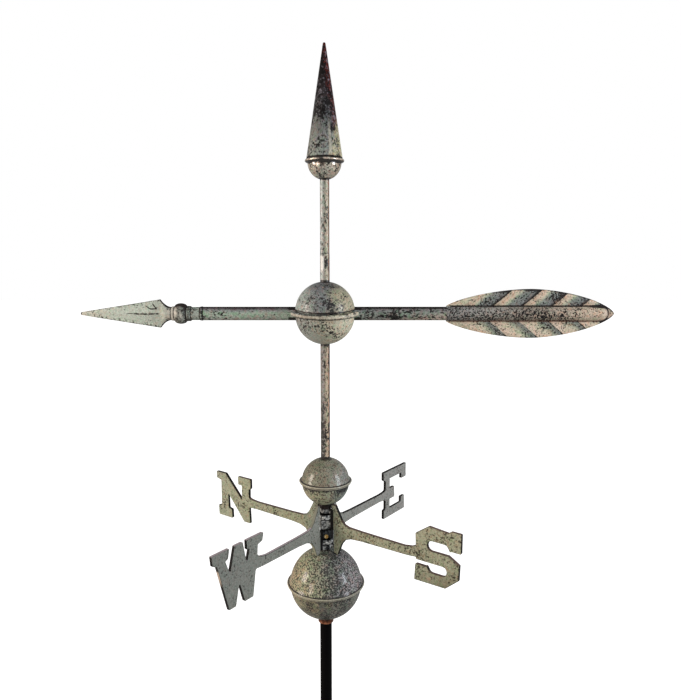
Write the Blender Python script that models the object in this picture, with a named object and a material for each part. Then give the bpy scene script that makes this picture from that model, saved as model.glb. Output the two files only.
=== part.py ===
# Arrow weathervane with globes and compass letters, in copper and brass on a steel rod.
# Units are metres, +Z is up, and the origin is the centre of the rod's lower end.
# The arrow lies along X, with its point towards -X, and it turns on the rod about Z.

import bmesh
import bpy
from math import atan2, ceil, cos, pi, radians, sin, sqrt, tan
from mathutils import Matrix, Vector

MM = 0.001
INCH = 25.4 * MM
GAP = 0.3 * MM

# Rod: a thick lower part, and a thin spindle from the lower globe up into the vane.
ROD_RADIUS = 8.4 * MM
SPINDLE_RADIUS = 3 / 8 * INCH / 2
SPINDLE_BORE = SPINDLE_RADIUS + GAP
ROD_BEVEL = 0.8 * MM

# Heights above the rod's lower end.
LOWER_GLOBE_Z = 187.1 * MM
HUB_SPLIT_Z = 268.25 * MM
UPPER_GLOBE_Z = 337.2 * MM
BALL_Z = 570.0 * MM
FINIAL_Z = 771.5 * MM
APEX_Z = 918.4 * MM
ARROW_Z = BALL_Z + 1.5 * MM

# Globes: sphere radius, and outer radius of the rolled flange where the halves meet.
LOWER_GLOBE_RADIUS = 50.7 * MM
LOWER_FLANGE_RADIUS = 55.2 * MM
UPPER_GLOBE_RADIUS = 33.2 * MM
UPPER_FLANGE_RADIUS = 36.8 * MM
BALL_RADIUS = 40.2 * MM
BALL_FLANGE_RADIUS = 46.8 * MM
BALL_FLANGE_THICK = 4.0 * MM
BALL_GROOVE = 2.0 * MM
FLANGE_BEAD = 1.3 * MM

# Copper collars under the two globes.
COLLAR_THICK = 2.6 * MM
LOWER_COLLAR_HEIGHT = 8.9 * MM
UPPER_COLLAR_RADIUS = 9.4 * MM

# Compass castings.
COMPASS_TURN = radians(-36.18)
PLATE_THICK = 4.4 * MM
ROOT_INNER = 15.5 * MM
ROOT_INNER_UPPER = 12.0 * MM
ROOT_TOP = 35.5 * MM
ROOT_BOTTOM = 34.0 * MM
ROOT_MIDDLE_Z = HUB_SPLIT_Z + 1.9 * MM
ARM_Z_NORTH_SOUTH = 271.2 * MM
ARM_Z_WEST_EAST = 269.6 * MM
ARM_START = 62.0 * MM
ARM_HALF = 7.0 * MM
ARM_WAIST_HALF = 6.2 * MM
ARM_FLARE = 17.0 * MM
HUB_HALF_HEIGHT = 29.8 * MM
WEB_INSET = 0.4 * MM
HUB_BLOCK_HEIGHT = 13.0 * MM
HUB_BLOCK_HALF = 7.4 * MM
HUB_WIDE_RING = 9.7 * MM
HUB_NARROW_RING = 7.6 * MM
HUB_GROOVE = 6.9 * MM

# Brass set screw of the lower collar.
SCREW_TURN = radians(6.0)
SCREW_HEAD_RADIUS = 3.2 * MM
SCREW_HEAD_HEIGHT = 2.4 * MM
SCREW_SHANK_RADIUS = 1.8 * MM
SCREW_SLOT = 0.8 * MM

# Vane tubes and arrow.
TUBE_RADIUS = 1 / 4 * INCH
SHAFT_RADIUS = 9.2 * MM
SOCKET_RADIUS = 8.9 * MM
SOCKET_END_X = -168.5 * MM
RING_END_X = -180.2 * MM
RING_RADIUS = 10.3 * MM
BEAD_END_X = -186.2 * MM
BEAD_START_X = -202.2 * MM
BEAD_RADIUS = 13.9 * MM
NECK_X = -206.5 * MM
NECK_RADIUS = 9.0 * MM
SHOULDER_X = -222.0 * MM
SHOULDER_HALF = 19.0 * MM
POINT_X = -329.4 * MM
POINT_RADIUS = 2.3 * MM
BLADE_EDGE_HALF = 2.3 * MM
BLADE_RIDGE_HALF = 5.0 * MM

# Feather.
FEATHER_START_X = 163.4 * MM
FEATHER_END_X = 389.5 * MM
FEATHER_WIDEST_X = 277.5 * MM
FEATHER_HALF = 33.1 * MM
FEATHER_NECK = 10.4 * MM
FEATHER_RIM_HALF = 1.3 * MM
QUILL_RADIUS = 10.0 * MM
QUILL_END_X = 384.5 * MM
SHAFT_LAP = 25.0 * MM
BARB_SPACING = 39.8 * MM
BARB_CREST_X = 223.4 * MM
BARB_SWEEP = 1.2
BARB_RELIEF = 2.6 * MM
BARB_STEPS = 6

# Finial.
CONE_RADIUS = 23.8 * MM
CONE_TIP_RADIUS = 1.9 * MM
FINIAL_RING_RADIUS = 25.8 * MM
FINIAL_RING_HALF = 2.1 * MM
CUP_RADIUS = 22.3 * MM


def clear_scene():
    for obj in list(bpy.data.objects):
        bpy.data.objects.remove(obj, do_unlink=True)


def make_material(name, colour, roughness, metallic):
    material = bpy.data.materials.new(name)
    material.use_nodes = True
    shader = material.node_tree.nodes["Principled BSDF"]
    shader.inputs["Base Color"].default_value = (*colour, 1.0)
    shader.inputs["Roughness"].default_value = roughness
    shader.inputs["Metallic"].default_value = metallic
    return material


def make_object(name, bm, material, parent=None, smooth_angle=35.0):
    """Turn a bmesh into a named object with outward faces."""
    bmesh.ops.recalc_face_normals(bm, faces=bm.faces)
    if bm.calc_volume(signed=True) < 0:
        bmesh.ops.reverse_faces(bm, faces=bm.faces)
    mesh = bpy.data.meshes.new(name)
    bm.to_mesh(mesh)
    bm.free()
    mesh.shade_smooth()
    mesh.set_sharp_from_angle(angle=radians(smooth_angle))
    mesh.materials.append(material)
    obj = bpy.data.objects.new(name, mesh)
    bpy.context.scene.collection.objects.link(obj)
    obj.parent = parent
    return obj


def combine(obj, other, operation):
    """Boolean with a guide shape that the finished part doesn't show."""
    other.hide_render = True
    other.display_type = "WIRE"
    other.parent = obj.parent
    modifier = obj.modifiers.new(other.name, "BOOLEAN")
    modifier.operation = operation
    modifier.object = other


def arc(centre_r, centre_z, radius, start, end, steps):
    """Points of an arc, with angles in degrees from +r towards +z."""
    angles = [radians(start + (end - start) * i / steps) for i in range(steps + 1)]
    return [(centre_r + radius * cos(a), centre_z + radius * sin(a)) for a in angles]


def turned(profile, segments):
    """Turn a closed profile of (radius, height) points about Z; points on the axis are poles."""
    bm = bmesh.new()
    rings = []
    for radius, height in profile:
        if radius < 1e-7:
            rings.append([bm.verts.new((0.0, 0.0, height))])
        else:
            angles = [2 * pi * i / segments for i in range(segments)]
            rings.append([bm.verts.new((radius * cos(a), radius * sin(a), height)) for a in angles])
    for ring, following in zip(rings, rings[1:] + rings[:1]):
        if len(ring) == 1 and len(following) == 1:
            continue
        for i in range(segments):
            j = (i + 1) % segments
            corners = []
            for vert in (ring[i % len(ring)], ring[j % len(ring)],
                         following[j % len(following)], following[i % len(following)]):
                if vert not in corners:
                    corners.append(vert)
            bm.faces.new(corners)
    return bm


def skin(rings):
    """Skin a row of equal closed rings of points, and close both ends."""
    bm = bmesh.new()
    loops = [[bm.verts.new(point) for point in ring] for ring in rings]
    count = len(loops[0])
    for loop, following in zip(loops, loops[1:]):
        for i in range(count):
            j = (i + 1) % count
            bm.faces.new((loop[i], loop[j], following[j], following[i]))
    bm.faces.new(loops[0])
    bm.faces.new(loops[-1])
    return bm


def rounded(corners):
    """Outline through (x, z, fillet radius) corners, with each fillet as an arc."""
    points = []
    for i, (x, z, fillet) in enumerate(corners):
        here = Vector((x, z))
        if fillet <= 0:
            points.append(here)
            continue
        before = Vector(corners[i - 1][:2]) - here
        after = Vector(corners[(i + 1) % len(corners)][:2]) - here
        half_angle = before.angle(after) / 2
        reach = min(fillet / tan(half_angle), 0.49 * before.length, 0.49 * after.length)
        radius = reach * tan(half_angle)
        middle = here + (before.normalized() + after.normalized()).normalized() * (radius / sin(half_angle))
        start = here + before.normalized() * reach - middle
        end = here + after.normalized() * reach - middle
        first = atan2(start.y, start.x)
        turn = (atan2(end.y, end.x) - first + pi) % (2 * pi) - pi
        steps = max(1, ceil(abs(turn) / radians(40)))
        for step in range(steps + 1):
            angle = first + turn * step / steps
            points.append(middle + radius * Vector((cos(angle), sin(angle))))
    return points


def extrude_outline(points, thickness):
    """Plate of the outline in XZ, centred on Y = 0."""
    bm = bmesh.new()
    near = [bm.verts.new((p.x, -thickness / 2, p.y)) for p in points]
    far = [bm.verts.new((p.x, thickness / 2, p.y)) for p in points]
    faces = [bm.faces.new(near), bm.faces.new(far[::-1])]
    count = len(points)
    for i in range(count):
        j = (i + 1) % count
        bm.faces.new((near[i], far[i], far[j], near[j]))
    bm.normal_update()
    bmesh.ops.triangulate(bm, faces=faces)
    return bm


def sphere_side(centre_z, radius, start, end, steps):
    return arc(0.0, centre_z, radius, start, end, steps)


def bore_angle(bore, radius):
    """Angle in degrees at which a bore opens in a sphere."""
    return 90.0 - (atan2(bore, sqrt(radius * radius - bore * bore)) * 180 / pi)


def globe_top_half(centre_z, radius, flange, bore, steps, segments):
    """Upper spun half: a dome whose skirt flares out to a rolled bead."""
    skirt_start = 13.0
    dome = sphere_side(centre_z, radius, bore_angle(bore, radius), skirt_start, steps)
    bead_r = flange - FLANGE_BEAD
    bead_z = centre_z + 0.6 * FLANGE_BEAD
    skirt_r, skirt_z = dome[-1]
    flare = []
    for share in (0.45, 0.8):
        flare.append((skirt_r + (bead_r - skirt_r) * share ** 2,
                      skirt_z + (bead_z + FLANGE_BEAD - skirt_z) * share))
    bead = arc(bead_r, bead_z, FLANGE_BEAD, 80, -110, 3)
    under = [(radius - 1 * MM, centre_z + GAP / 2), (bore, centre_z + GAP / 2)]
    return turned(dome + flare + bead + under, segments)


def globe_bottom_half(centre_z, radius, bore, steps, segments):
    """Lower spun half: a plain bowl, solid in this model."""
    rim_z = centre_z - GAP / 2
    bowl = sphere_side(rim_z, radius, 0, -bore_angle(bore, radius), steps)
    return turned([(bore, rim_z)] + bowl, segments)


def make_rod(parent, paint):
    shoulder = LOWER_GLOBE_Z - GAP
    top = ARROW_Z - SHAFT_RADIUS - 2 * GAP
    profile = [(0.0, top), (SPINDLE_RADIUS - ROD_BEVEL, top), (SPINDLE_RADIUS, top - ROD_BEVEL),
               (SPINDLE_RADIUS, shoulder), (ROD_RADIUS - ROD_BEVEL, shoulder),
               (ROD_RADIUS, shoulder - ROD_BEVEL), (ROD_RADIUS, 0.0), (0.0, 0.0)]
    return make_object("mounting_rod", turned(profile, 16), paint, parent)


def make_collar(name, outer, bore, low, high, copper, parent):
    """Copper ferrule with rounded edges."""
    middle = (low + high) / 2
    half = (high - low) / 2
    side = [(outer - 0.9 * MM, high), (outer, middle + 0.55 * half), (outer, middle - 0.55 * half),
            (outer - 0.9 * MM, low)]
    return make_object(name, turned([(bore, high)] + side + [(bore, low)], 16), copper, parent)


def letter_n():
    """Slab letter N: corners (x, z) in mm from its lower left, from the arm's top round to its foot."""
    height, stem_left, stem_right = 70.8, 10.0, 26.2
    second_left, second_right = 54.9, 70.8
    serif_top, serif_foot = 57.7, 15.6
    return [(second_right, 41.0, 2), (second_right, serif_top - 4, 0), (second_right + 3.4, serif_top - 1.5, 0),
            (second_right + 3.4, height, 0), (47.0, height, 0), (47.5, serif_top, 0),
            (second_left, serif_top, 1), (second_left, 35.0, 0.6), (20.5, height, 0), (0.0, height, 0),
            (0.6, serif_top + 2.0, 0), (stem_left, serif_top, 1), (stem_left, serif_foot + 1.5, 1),
            (3.2, serif_foot, 0), (4.0, 0.0, 0), (33.6, 0.0, 0), (32.8, serif_foot - 1.4, 0),
            (stem_right, serif_foot, 0), (25.0, 39.3, 1.2), (59.0, 0.0, 0), (second_right + 1.3, 0.0, 0),
            (second_right, 25.4, 2)]


def letter_s():
    """Slab letter S with chamfered outside corners and oval counters, from the arm's foot round to its top."""
    height, limb, spine_low, spine_high = 77.0, 22.3, 28.2, 44.7
    counter_low, counter_high = 15.8, 57.6
    right, hook_left, hook_right = 65.2, 19.2, 49.2
    return [(2.0, 30.8, 1), (2.5, spine_low, 0), (46.0, spine_low, 5.5), (46.0, counter_low, 5.5),
            (23.0, counter_low, 5), (hook_left, limb, 1), (1.7, limb, 0), (0.3, 0.0, 0), (44.7, 0.4, 1),
            (62.9, 16.0, 1), (63.6, 36.0, 1), (48.5, spine_high, 1), (18.8, spine_high, 6),
            (18.8, counter_high, 6), (45.5, counter_high, 5), (hook_right, 50.9, 1), (right, 50.9, 0),
            (right, height, 0), (51.5, height, 0), (47.5, height - 3.0, 0), (20.2, height - 0.6, 0.6),
            (1.0, 63.0, 0.6), (1.6, 46.2, 2)]


def letter_e():
    """Slab letter E, from the arm's foot round to its top."""
    height, stem_left, stem_right, bar = 77.4, 6.0, 19.0, 14.2
    serif, inner = 23.2, 53.4
    return [(stem_left, 29.6, 2), (stem_left, bar + 1.6, 1), (1.2, bar + 0.4, 0), (1.2, 0.0, 0),
            (65.0, 0.0, 0), (64.2, serif, 0), (inner, serif, 0), (inner, bar, 0), (stem_right, bar, 0.6),
            (stem_right, 28.8, 0.6), (33.6, 28.8, 0), (32.4, 47.4, 0), (stem_right, 47.4, 0.6),
            (stem_right, height - bar, 0.6), (inner + 0.6, height - bar, 0), (inner + 0.6, height - serif, 0),
            (68.8, height - serif, 0), (68.8, height, 0), (0.0, height, 0), (0.0, height - bar + 1, 0),
            (stem_left, height - bar - 1.8, 1), (stem_left, 46.6, 2)]


def letter_w():
    """Slab letter W, from the arm's top round to its foot."""
    height, serif = 76.6, 64.4
    return [(76.0, 50.4, 3), (77.0, serif - 0.4, 1), (85.0, serif + 2.0, 0), (87.2, height, 0),
            (57.0, height, 0), (57.4, serif, 0), (61.5, serif - 1.0, 0), (57.2, 47.4, 1), (51.0, height, 0),
            (37.0, height, 0), (28.7, 45.3, 1), (22.0, serif - 1.5, 0), (26.0, serif, 0),
            (28.5, height, 0), (0.0, height, 0), (1.5, serif, 0), (8.0, serif - 3.2, 0), (25.8, 0.0, 0),
            (37.4, 0.0, 0), (43.8, 27.3, 1), (52.2, 0.0, 0), (67.2, 0.0, 0), (72.6, 33.9, 3)]


def placed(corners, left, foot):
    return [(left + x * MM, foot + z * MM, fillet * MM) for x, z, fillet in corners]


def arm_flare(letter_corner, arm_z):
    """Points where an arm starts to widen into its letter, seen from the letter's own corner."""
    x, z = letter_corner[:2]
    inward = -1 if x > 0 else 1
    edge = arm_z + (ARM_WAIST_HALF if z > arm_z else -ARM_WAIST_HALF)
    near = (x + inward * 0.35 * ARM_FLARE, edge + (z - edge) * 0.4, 0.0)
    far = (x + inward * ARM_FLARE, edge, 0.0)
    return [near, far]


def root_side(side, arm_z, web_low, web_high, upper_inner):
    """Upper and lower corners of the tall root on one side, each listed from the arm inwards."""
    top = ROOT_MIDDLE_Z + ROOT_TOP
    bottom = ROOT_MIDDLE_Z - ROOT_BOTTOM
    upper = [(ARM_START, arm_z + ARM_HALF, 0), (33.0 * MM, arm_z + 8.2 * MM, 14 * MM),
             (18.8 * MM, top, 2 * MM), (upper_inner, top, 1.2 * MM), (upper_inner, web_high, 1 * MM)]
    lower = [(ARM_START, arm_z - ARM_HALF, 0), (33.5 * MM, arm_z - 9.2 * MM, 18 * MM),
             (22.5 * MM, bottom - 2 * MM, 1.5 * MM), (ROOT_INNER, bottom, 1 * MM), (ROOT_INNER, web_low, 1 * MM)]
    return ([(side * x, z, f) for x, z, f in upper], [(side * x, z, f) for x, z, f in lower])


def casting_outline(left_letter, right_letter, arm_z, web_low, web_high, upper_inner):
    """Closed outline: right letter, upper edges, left letter, lower edges."""
    upper_right, lower_right = root_side(1, arm_z, web_low, web_high, upper_inner)
    upper_left, lower_left = root_side(-1, arm_z, web_low, web_high, upper_inner)
    corners = list(right_letter)
    corners += arm_flare(right_letter[-1], arm_z)
    corners += upper_right + upper_left[::-1]
    corners += arm_flare(left_letter[0], arm_z)[::-1]
    corners += left_letter
    corners += arm_flare(left_letter[-1], arm_z)
    corners += lower_left + lower_right[::-1]
    corners += arm_flare(right_letter[0], arm_z)[::-1]
    return rounded(corners)


def hub_collar(direction):
    """Turned part of a collar, from the split plane up (1) or down (-1)."""
    levels = [(HUB_GROOVE, 0.0), (HUB_GROOVE, 14.0 * MM), (HUB_WIDE_RING, 14.0 * MM),
              (HUB_WIDE_RING, 21.5 * MM), (HUB_GROOVE, 22.2 * MM), (HUB_GROOVE, 23.0 * MM),
              (HUB_NARROW_RING, 23.0 * MM), (HUB_NARROW_RING, HUB_HALF_HEIGHT)]
    start = HUB_SPLIT_Z + direction * GAP / 2
    side = [(radius, start + direction * level) for radius, level in levels]
    return turned([(0.0, side[0][1])] + side + [(0.0, side[-1][1])], 16)


def box(size, centre):
    bm = bmesh.new()
    bmesh.ops.create_cube(bm, size=1.0)
    bmesh.ops.scale(bm, vec=size, verts=bm.verts)
    bmesh.ops.translate(bm, vec=centre, verts=bm.verts)
    return bm


def make_casting(name, turn, letters, direction, brass, parent):
    """One flat casting: two arms with letters, and the collar that holds them to the spindle."""
    inner = HUB_SPLIT_Z + direction * GAP / 2
    outer = inner + direction * HUB_HALF_HEIGHT
    arm_z = ARM_Z_NORTH_SOUTH if direction > 0 else ARM_Z_WEST_EAST
    upper_inner = ROOT_INNER_UPPER if direction > 0 else ROOT_INNER
    outline = casting_outline(*letters, arm_z, min(inner, outer) + WEB_INSET, max(inner, outer) - WEB_INSET,
                              upper_inner)
    plate = make_object(name, extrude_outline(outline, PLATE_THICK), brass, parent, 50.0)
    plate.rotation_euler.z = turn
    collar = make_object(name + "_collar_guide", hub_collar(direction), brass)
    block_size = (2 * HUB_BLOCK_HALF, 2 * HUB_BLOCK_HALF, HUB_BLOCK_HEIGHT)
    block_z = inner + direction * (HUB_BLOCK_HEIGHT / 2 + GAP / 2)
    block = make_object(name + "_block_guide", box(block_size, (0.0, 0.0, block_z)), brass)
    block.rotation_euler.z = SCREW_TURN
    low, high = min(inner, outer) - 1 * MM, max(inner, outer) + 1 * MM
    bore = make_object(name + "_bore_guide",
                       turned([(0.0, low), (SPINDLE_BORE, low), (SPINDLE_BORE, high), (0.0, high)], 16), brass)
    combine(plate, collar, "UNION")
    combine(plate, block, "UNION")
    combine(plate, bore, "DIFFERENCE")
    return plate


def make_set_screw(block_top, casting, brass, parent):
    """Round-headed brass screw in the front face of the lower collar's block."""
    z = block_top - HUB_BLOCK_HEIGHT + 3.2 * MM
    hole_radius = SCREW_SHANK_RADIUS + GAP
    facing = Matrix.Translation((0.0, 0.0, z)) @ Matrix.Rotation(SCREW_TURN, 4, "Z") @ Matrix.Rotation(pi / 2, 4, "X")
    hole_bm = turned([(0.0, 0.0), (hole_radius, 0.0), (hole_radius, 9 * MM), (0.0, 9 * MM)], 12)
    hole_bm.transform(facing)
    combine(casting, make_object("set_screw_hole_guide", hole_bm, brass), "DIFFERENCE")
    under = HUB_BLOCK_HALF + GAP
    dome = [(SCREW_HEAD_RADIUS * cos(a), under + SCREW_HEAD_HEIGHT * sin(a))
            for a in (0.0, pi / 8, pi / 4, 3 * pi / 8, pi / 2)]
    dome[-1] = (0.0, dome[-1][1])
    shank_end = SPINDLE_RADIUS + 2 * GAP
    profile = [(0.0, shank_end), (SCREW_SHANK_RADIUS, shank_end), (SCREW_SHANK_RADIUS, under)] + dome
    screw_bm = turned(profile, 12)
    screw_bm.transform(facing)
    screw = make_object("set_screw", screw_bm, brass, parent)
    slot_bm = box((9 * MM, SCREW_SLOT, 2 * SCREW_SLOT), (0.0, 0.0, under + SCREW_HEAD_HEIGHT))
    slot_bm.transform(facing)
    slot = make_object("set_screw_slot_guide", slot_bm, brass)
    combine(screw, slot, "DIFFERENCE")
    return screw


def shaft_channel(name, brass):
    """Round bar along X that clears the arrow shaft."""
    radius = SHAFT_RADIUS + GAP
    bm = turned([(0.0, -60 * MM), (radius, -60 * MM), (radius, 60 * MM), (0.0, 60 * MM)], 24)
    bm.transform(Matrix.Translation((0.0, 0.0, ARROW_Z)) @ Matrix.Rotation(pi / 2, 4, "Y"))
    return make_object(name, bm, brass)


def make_ball(copper, parent):
    """Centre ball: the lower half carries a flat flange, and the upper half stands in it over a dark groove."""
    tube_bore = TUBE_RADIUS + GAP
    flange_top = BALL_Z + BALL_FLANGE_THICK / 2
    flange_low = BALL_Z - BALL_FLANGE_THICK / 2
    rim = arc(BALL_FLANGE_RADIUS - 1.4 * MM, BALL_Z, BALL_FLANGE_THICK / 2, 75, -75, 2)
    bowl = sphere_side(BALL_Z, BALL_RADIUS, -4, -bore_angle(tube_bore, BALL_RADIUS), 6)
    low_profile = [(tube_bore, flange_top)] + rim + [(BALL_RADIUS + 0.4 * MM, flange_low)] + bowl
    lower = make_object("ball_lower_half", turned(low_profile, 28), copper, parent)
    dome_z = flange_top + GAP + BALL_GROOVE
    dome = sphere_side(dome_z, BALL_RADIUS, bore_angle(tube_bore, BALL_RADIUS), 0, 6)
    neck = BALL_RADIUS - 2.2 * MM
    high_profile = dome + [(neck, dome_z), (neck, flange_top + GAP), (tube_bore, flange_top + GAP)]
    upper = make_object("ball_upper_half", turned(high_profile, 28), copper, parent)
    combine(lower, shaft_channel("lower_channel_guide", copper), "DIFFERENCE")
    combine(upper, shaft_channel("upper_channel_guide", copper), "DIFFERENCE")


def make_tubes(copper, parent):
    """Lower tube turns on the spindle; upper tube carries the finial."""
    low = UPPER_GLOBE_Z + UPPER_GLOBE_RADIUS + GAP
    high = ARROW_Z - SHAFT_RADIUS - GAP
    profile = [(SPINDLE_BORE, high), (TUBE_RADIUS, high), (TUBE_RADIUS, low), (SPINDLE_BORE, low)]
    make_object("vane_tube_lower", turned(profile, 20), copper, parent)
    foot = ARROW_Z + SHAFT_RADIUS + GAP
    top = FINIAL_Z - CUP_RADIUS / 2
    profile = [(0.0, top), (TUBE_RADIUS, top), (TUBE_RADIUS, foot), (0.0, foot)]
    make_object("vane_tube_upper", turned(profile, 20), copper, parent)


def make_finial(copper, parent):
    """Spun cup with a rolled ring, and a tall cone standing in the ring."""
    bore = TUBE_RADIUS + GAP
    ring_low = FINIAL_Z - FINIAL_RING_HALF
    ring = arc(FINIAL_RING_RADIUS - FINIAL_RING_HALF, FINIAL_Z, FINIAL_RING_HALF, 100, -80, 3)
    bowl = sphere_side(ring_low, CUP_RADIUS, -6, -bore_angle(bore, CUP_RADIUS), 4)
    recess_top = FINIAL_Z - CUP_RADIUS / 2 + GAP
    cup_profile = [(0.0, FINIAL_Z + 1.2 * MM)] + ring + bowl + [(bore, recess_top), (0.0, recess_top)]
    make_object("finial_cup", turned(cup_profile, 24), copper, parent)
    base = FINIAL_Z + FINIAL_RING_HALF + GAP
    tip = APEX_Z - CONE_TIP_RADIUS
    cone_profile = [(0.0, APEX_Z), (CONE_TIP_RADIUS * 0.7, tip + CONE_TIP_RADIUS * 0.6), (CONE_TIP_RADIUS, tip),
                    (CONE_RADIUS, base), (0.0, base)]
    make_object("finial_cone", turned(cone_profile, 24), copper, parent)


def make_shaft(copper, parent):
    """Straight tube through the ball, modelled solid."""
    start = SOCKET_END_X + GAP
    end = FEATHER_START_X + SHAFT_LAP
    bm = turned([(0.0, start), (SHAFT_RADIUS, start), (SHAFT_RADIUS, end), (0.0, end)], 24)
    bm.transform(Matrix.Translation((0.0, 0.0, ARROW_Z)) @ Matrix.Rotation(pi / 2, 4, "Y"))
    make_object("arrow_shaft", bm, copper, parent)


def blade_ring(x, half, edge, ridge, roundness, count):
    """Cross-section of the arrowhead: a ridged blade that turns into a round neck."""
    ring = []
    for i in range(count):
        angle = 2 * pi * i / count
        across, up = cos(angle), sin(angle)
        share = abs(up)
        blade_y = (ridge + (edge - ridge) * share) * (1 if across > 0 else -1 if across < 0 else 0)
        if abs(across) < 1e-6:
            blade_y = 0.0
        blade_z = half * up
        if share > 0.95:
            blade_z = half * (1 if up > 0 else -1)
            blade_y = edge * across / abs(across) if abs(across) > 1e-6 else 0.0
        round_y, round_z = half * across, half * up
        ring.append((x, blade_y * (1 - roundness) + round_y * roundness,
                     ARROW_Z + blade_z * (1 - roundness) + round_z * roundness))
    return ring


def make_arrowhead(copper, parent):
    """Hollow-formed point with a median ridge, and a beaded socket for the shaft."""
    count = 16
    stations = [(POINT_X, POINT_RADIUS * 0.4, 1.0), (POINT_X + 0.8 * MM, POINT_RADIUS * 0.9, 1.0),
                (POINT_X + 2.3 * MM, POINT_RADIUS, 1.0), (POINT_X + 4.6 * MM, POINT_RADIUS * 1.25, 0.5)]
    for share in (0.35, 0.7, 1.0):
        x = POINT_X + 5 * MM + (SHOULDER_X - POINT_X - 5 * MM) * share
        stations.append((x, 2.9 * MM + (SHOULDER_HALF - 2.9 * MM) * share, 0.0))
    for share in (0.2, 0.4, 0.65, 1.0):
        fall = (1 - share) ** 2
        stations.append((SHOULDER_X + (NECK_X - SHOULDER_X) * share,
                         NECK_RADIUS + (SHOULDER_HALF - NECK_RADIUS) * fall, share ** 1.5))
    stations += [(BEAD_START_X, NECK_RADIUS + 0.3 * MM, 1.0)]
    middle = (BEAD_START_X + BEAD_END_X) / 2
    half_bead = (BEAD_END_X - BEAD_START_X) / 2
    for share in (-0.75, -0.4, 0.0, 0.4, 0.75, 1.0):
        swell = sqrt(1 - (0.92 * share) ** 2)
        stations.append((middle + half_bead * share, NECK_RADIUS + (BEAD_RADIUS - NECK_RADIUS) * swell, 1.0))
    stations += [(BEAD_END_X + 0.4 * MM, RING_RADIUS, 1.0), (RING_END_X - 1.2 * MM, RING_RADIUS, 1.0),
                 (RING_END_X, SOCKET_RADIUS, 1.0), (SOCKET_END_X, SOCKET_RADIUS, 1.0)]
    rings = []
    for x, half, roundness in stations:
        along = min(1.0, (x - POINT_X) / (SHOULDER_X - POINT_X))
        ridge = 2.0 * MM + (BLADE_RIDGE_HALF - 2.0 * MM) * along
        edge = 1.5 * MM + (BLADE_EDGE_HALF - 1.5 * MM) * along
        rings.append(blade_ring(x, half, edge, ridge, roundness, count))
    make_object("arrowhead", skin(rings), copper, parent)


def feather_half(x):
    """Half width of the feather at x: it leaves the quill at the front, and closes in a point at the tail."""
    if x < FEATHER_WIDEST_X:
        share = min(1.0, (FEATHER_WIDEST_X - x) / (FEATHER_WIDEST_X - FEATHER_START_X))
        return FEATHER_NECK + (FEATHER_HALF - FEATHER_NECK) * (1 - share ** 1.8) ** 0.8
    share = min(1.0, (x - FEATHER_WIDEST_X) / (FEATHER_END_X - FEATHER_WIDEST_X))
    return FEATHER_HALF * (1 - share ** 1.7) ** 0.65


def quill_half(x):
    """Radius of the half-round quill, which closes in a rounded end."""
    beyond = x - (QUILL_END_X - QUILL_RADIUS)
    if beyond <= 0:
        return QUILL_RADIUS
    return QUILL_RADIUS * sqrt(max(0.0, 1 - (beyond / QUILL_RADIUS) ** 2))


def barb_rim(start_x):
    """Where the barb that leaves the quill at start_x meets the rim, sweeping back towards the tail."""
    low, high = 0.0, FEATHER_HALF
    for _ in range(40):
        out = (low + high) / 2
        if QUILL_RADIUS + out < feather_half(start_x + BARB_SWEEP * out):
            low = out
        else:
            high = out
    return low


def barb_height(x, z):
    """Relief of the barbs above the rim: sharp crests with round hollows between them."""
    phase = (x - BARB_SWEEP * (abs(z) - QUILL_RADIUS) - BARB_CREST_X) / BARB_SPACING
    crest = 1 - abs(sin(pi * phase))
    from_quill = min(1.0, max(0.0, (abs(z) - QUILL_RADIUS) / (5 * MM)))
    to_rim = min(1.0, max(0.0, (feather_half(x) - abs(z)) / (7 * MM)))
    return BARB_RELIEF * crest * (0.25 + 0.75 * from_quill) * (0.3 + 0.7 * to_rim)


def feather_rows(column_x):
    """Points (x, z, half thickness) of one barb line, from the middle of the quill out to the rim."""
    quill = quill_half(column_x)
    rim = feather_half(column_x)
    rows = []
    for angle in (0, 36, 70):
        z = min(QUILL_RADIUS, max(rim - 0.6 * MM, 0.4 * MM)) * sin(radians(angle))
        inside = max(0.0, quill * quill - z * z)
        rows.append((column_x, z, max(sqrt(inside), FEATHER_RIM_HALF)))
    edge = min(QUILL_RADIUS, max(rim - 0.3 * MM, 0.7 * MM))
    reach = max(barb_rim(column_x), 0.6 * MM) if edge >= QUILL_RADIUS - 0.01 * MM else 0.3 * MM
    for share in (0.0, 0.4, 0.8, 1.0):
        out = reach * share
        x = column_x + (BARB_SWEEP * out if reach > 0.6 * MM else 0.0)
        z = edge + out
        rows.append((x, z, FEATHER_RIM_HALF + barb_height(x, z)))
    return rows


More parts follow.
